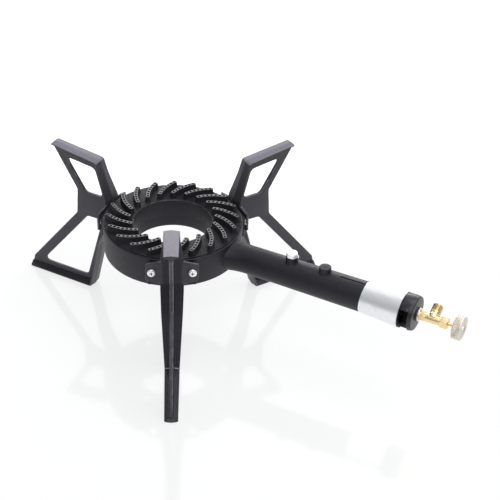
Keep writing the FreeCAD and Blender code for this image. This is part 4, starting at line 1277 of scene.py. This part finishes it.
def tube_parts() -> list[Part]:
    """Lists the parts on the tube, with the profiles of those that are turned.

    Returns:
        The parts, from the boss to the knob.
    """
    bolt = (
        (153.25, 0.0), (153.25, 2.6), (153.5, 3.0), (153.5, 6.0), (153.25, 6.6), (152.5, 7.6056),
        (148.45, 7.6056), (148.0, 7.0056), (148.0, 3.9), (142.5, 3.9), (142.5, 0.0),
    )
    cap = (
        (334.9, 20.02), (334.9, 22.38), (338.8, 21.7), (340.0, 21.0), (340.0, 8.8), (341.6, 8.8),
        (341.6, 6.7), (336.0, 6.7), (336.0, 20.02),
    )
    washer = ((341.75, 6.25), (341.75, 8.5), (344.1, 8.5), (344.1, 6.25))
    neck = ((335.3, 0.0), (335.3, 6.15), (344.3, 6.15), (344.3, 0.0))
    hexagon = (
        (344.1, 0.0), (344.1, 5.65085), (344.65, 6.45085), (351.45, 6.45085), (352.0, 5.55085), (352.0, 0.0)
    )
    barrel = ((351.8, 0.0), (351.8, 5.6), (370.0, 5.6), (370.0, 4.0), (372.0, 4.0), (372.0, 0.0))
    nut = (
        (370.2, 4.1), (370.2, 6.85555), (370.7, 7.55555), (379.2, 7.55555), (379.8, 6.55555), (379.8, 2.65),
        (379.4, 2.15), (373.2, 2.15),
    )
    face = (
        (395.0, 15.2), (395.65, 15.2), (396.0, 14.5), (396.35, 15.2), (399.0, 15.2), (399.0, 11.6),
        (KNOB_DISH, 10.6), (KNOB_DISH, 0.0),
    )
    back = (
        (389.3, 15.2), (388.6, 15.1), (388.2, 14.3), (388.2, 10.5), (390.8, 10.2), (390.8, 5.0), (388.3, 5.0),
        (388.3, 0.0),
    )
    cap_cuts = (
        air_wall(20.02, 22.4, 323.5, 335.4),
        Lathe(cap, (0.1, 0.25, 0.8, 0.5, 0.5, 0.4, 0.2, 0.3, 0.3), 5, HEX_STEPS, True),
    )
    valve_cuts = (
        Lathe(neck, (0, 0.5, 0, 0), 3, 64),
        Lathe(hexagon, None, segments=HEX_STEPS, flats=11.0, start=30.0),
        Lathe(barrel, (0, 0, 0.6, 0.2, 0.2, 0)),
    )
    knob_cuts = (
        Lathe(face, (0, 0.15, 0.3, 0.15, 0.9, 0.5, 0.9, 0), segments=KNOB_STEPS),
        Lathe(back, (0, 0.3, 0.5, 0.4, 0.8, 0.6, 0.5, 0), segments=KNOB_STEPS),
    )
    bolt_cut = Lathe(bolt, None, segments=HEX_STEPS, flats=13.0, start=7.0)
    nut_cut = Lathe(nut, None, segments=HEX_STEPS, closed=True, flats=13.0, start=30.0)
    washer_cut = Lathe(washer, (0.2, 0.4, 0.5, 0.2), closed=True)
    boss = RING.at(BOSS_REACH, 0.0, 0.0)
    shutter = Tag("air_cap", "air_shutter", "black_coat", ("black_coat",), body=Body.SHUTTER)
    knob = Tag("knurled_knob", "control_knob", "knob_metal", ("knob_metal",), 38.0, Body.KNOB)
    return [
        TurnedPart(Tag("boss_bolt", "tube_boss_screw", "zinc", ("zinc",), 24.0), boss, (bolt_cut,)),
        RatingFoil(Tag("foil_sleeve", "rating_foil", "foil", ("foil",), 50.0)),
        TurnedPart(shutter, TUBE, cap_cuts),
        TurnedPart(Tag("cap_washer", "clamp_washer", "washer_steel", ("washer_steel",)), TUBE, (washer_cut,)),
        Valve(Tag("brass_valve", "valve_body", "brass", ("brass", "painted_shade"), 28.0), TUBE, valve_cuts),
        TurnedPart(Tag("closing_nut", "gland_nut", "brass", ("brass",), 24.0), TUBE, (nut_cut,)),
        Stem(Tag("valve_stem", "needle_spindle", "brass", ("brass",), 60.0, Body.KNOB)),
        Knob(knob, TUBE, knob_cuts),
    ]


def leg_screw_seats() -> list[Spindle]:
    """Gives the places of the six screws on the ears of the legs.

    Returns:
        The axis of each screw, from its seat outwards.
    """
    places = [across_leg(turn, EAR_FACE) for turn in LEG_TURNS.values()]
    return [
        place.at(*place.placed(0.0, side, EAR_SCREW_HEIGHT))
        for place in places
        for side in (-EAR_SCREW_SIDE, EAR_SCREW_SIDE)
    ]


def lid_screw_seats() -> list[Spindle]:
    """Gives the places of the three screws under the ring."""
    down = replace(RING, along=(0.0, 0.0, -1.0))
    return [down.at(*rotated(np.array((LID_SCREW_REACH, 0.0, RING_BASE)), turn)) for turn in LID_SCREW_TURNS]


def build_stove(finishes: Finishes) -> None:
    """Builds every piece of the stove.

    Args:
        finishes: All finishes.
    """
    body_looks = ("cast_iron", "worn_and_highlit_iron", "painted_shade")
    lid_looks = ("burner_iron", "ground_iron", "painted_shade", "cast_iron", "rim_highlight_iron")
    leg_looks = ("leg_iron", "worn_and_highlit_iron", "rubbed_and_highlit_iron", "bare_iron", "cast_iron")
    screw_looks = ("zinc", "painted_shade")
    legs = [
        Leg(Tag(f"{node}_casting", node, "cast_iron", leg_looks), turn) for node, turn in LEG_TURNS.items()
    ]
    leg_screws = Tag("leg_screw_heads", "leg_screws", "zinc", screw_looks, 40.0)
    lid_screws = Tag("lid_screw_heads", "head_screws", "zinc", screw_looks, 40.0)
    knob_screw = Tag("knob_face_screw", "knob_screw", "zinc", screw_looks, 40.0, Body.KNOB)
    parts = (
        RingCasting(Tag("ring_and_tube_casting", "burner_body", "cast_iron", body_looks)),
        BurnerHead(Tag("ridged_lid", "burner_head", "burner_iron", lid_looks)),
        *legs,
        PanScrews(leg_screws, 5.2, 3.35, leg_screw_seats()),
        PanScrews(lid_screws, 4.55, 3.15, lid_screw_seats()),
        *tube_parts(),
        PanScrews(knob_screw, 2.75, 1.6, [TUBE.at(KNOB_DISH, 0.0, TUBE_Z)]),
    )
    for part in parts:
        part.build(finishes)


@dataclass(frozen=True)
class Softbox:
    """One flat studio lamp."""

    name: str
    place: Triple
    target: Triple
    width: float
    height: float
    power: float

    def build(self) -> None:
        """Makes the lamp, pointed at its target."""
        lamp = bpy.data.lights.new(self.name, "AREA")
        lamp.shape = "RECTANGLE"
        lamp.size = self.width
        lamp.size_y = self.height
        lamp.energy = self.power
        aim = (Vector(self.target) - Vector(self.place)).to_track_quat("-Z", "Y")
        put_in_scene(self.name, lamp).matrix_world = Matrix.Translation(self.place) @ aim.to_matrix().to_4x4()


@dataclass
class Studio:
    """The white floor, the lamps, the pale surroundings and the camera."""

    floor_half: float = 12.0
    floor_colour: Triple = (0.94, 0.955, 0.97)
    floor_roughness: float = 0.09
    floor_mirror: float = 0.28
    floor_glow: float = 0.8
    veil: float = 0.70
    ambient: float = 0.45
    mirrored: tuple[float, float] = (0.22, 0.85)
    azimuth: float = -63.0898
    elevation: float = 34.1032
    distance: float = 1.80081
    roll: float = 1.918
    focal_pixels: float = 1380.0
    image_pixels: float = 500.0
    target: Triple = (0.000356, 0.050399, 0.098895)
    lamps: tuple[Softbox, ...] = (
        Softbox("overhead_box", (0.7, 0.5, 2.5), (0.0, 0.0, 0.1), 2.0, 2.0, 34.0),
        Softbox("back_box", (-1.15, 2.25, 0.95), (0.0, 0.0, 0.15), 3.0, 0.8, 38.0),
        Softbox("front_box", (0.95, -1.6, 2.15), (0.0, 0.0, 0.1), 1.6, 1.6, 30.0),
    )

    def build(self) -> None:
        """Makes the lamps, the floor, the surroundings and the camera."""
        for lamp in self.lamps:
            lamp.build()
        self.build_floor()
        self.build_world()
        self.build_camera()
        bpy.context.scene.view_settings.view_transform = "Standard"

    def build_floor(self) -> None:
        """Makes the floor: a pale glossy sheet that the camera sees nearly white, with shadows left on it."""
        half = self.floor_half
        corners = [(-half, -half, 0), (half, -half, 0), (half, half, 0), (-half, half, 0)]
        mesh = bpy.data.meshes.new("floor")
        mesh.from_pydata(corners, [], [(0, 1, 2, 3)])
        paint = Paint("floor_white")
        seen = paint.ray("Camera")
        mesh.materials.append(paint.finish(
            Base_Color=(*self.floor_colour, 1.0),
            Roughness=self.floor_roughness,
            Metallic=seen * self.floor_mirror,
        ))
        glow = paint.node("Emission", {}, {"Color": WHITE, "Strength": 1.0})
        share = seen * self.veil + paint.ray("Glossy") * self.floor_glow
        mix = paint.node("MixShader", {}, {0: share, 1: Socket(paint, paint.shader.outputs[0]), 2: glow})
        paint.feed(paint.sheet.inputs["Surface"], mix)
        put_in_scene("floor", mesh)

    def build_world(self) -> None:
        """Makes the surroundings: white to the camera, dim as light, and pale at the back in reflections."""
        world = bpy.data.worlds.new("studio")
        world.use_nodes = True
        canvas = Canvas(world.node_tree)
        azimuth = math.radians(self.azimuth)
        way = canvas.node("TexCoord", {}, {}, "Generated")
        ahead = (-math.cos(azimuth), -math.sin(azimuth), 0.0)
        facing = canvas.node("VectorMath", {"operation": "DOT_PRODUCT"}, {0: way, 1: ahead}, "Value")
        front, back = self.mirrored
        mirrored = facing.clipped(-0.35, 0.65) * (back - front) + front
        seen = canvas.ray("Camera") + canvas.ray("Transmission")
        lift = canvas.ray("Glossy") * (mirrored - self.ambient)
        strength = seen * (1 - self.ambient) + lift + self.ambient
        sky = canvas.node("Background", {}, {"Color": WHITE, "Strength": strength})
        canvas.node("OutputWorld", {}, {"Surface": sky}, None)
        bpy.context.scene.world = world

    def build_camera(self) -> None:
        """Makes the camera at the angle of the picture, tipped by its small roll."""
        azimuth, elevation, roll = (math.radians(v) for v in (self.azimuth, self.elevation, self.roll))
        level = Vector((-math.sin(azimuth), math.cos(azimuth), 0.0))
        out = Vector((math.cos(azimuth), math.sin(azimuth), 0.0))
        back = out * math.cos(elevation) + Vector((0.0, 0.0, math.sin(elevation)))
        upright = back.cross(level)
        right = level * math.cos(roll) + upright * math.sin(roll)
        up = upright * math.cos(roll) - level * math.sin(roll)
        lens = bpy.data.cameras.new("camera")
        lens.sensor_width = 36.0
        lens.lens = self.focal_pixels / self.image_pixels * lens.sensor_width
        lens.clip_end = 100.0
        camera = put_in_scene("camera", lens)
        turn = Matrix((right, up, back)).transposed().to_4x4()
        camera.matrix_world = Matrix.Translation(Vector(self.target) + back * self.distance) @ turn
        bpy.context.scene.camera = camera


def main() -> None:
    """Builds the finishes, the pieces and the studio in order."""
    logging.basicConfig(level=logging.INFO, format="%(name)s: %(message)s")
    finishes = Finishes()
    finishes.dress_solids()
    build_stove(finishes)
    Studio().build()


if __name__ == "__main__":
    main()
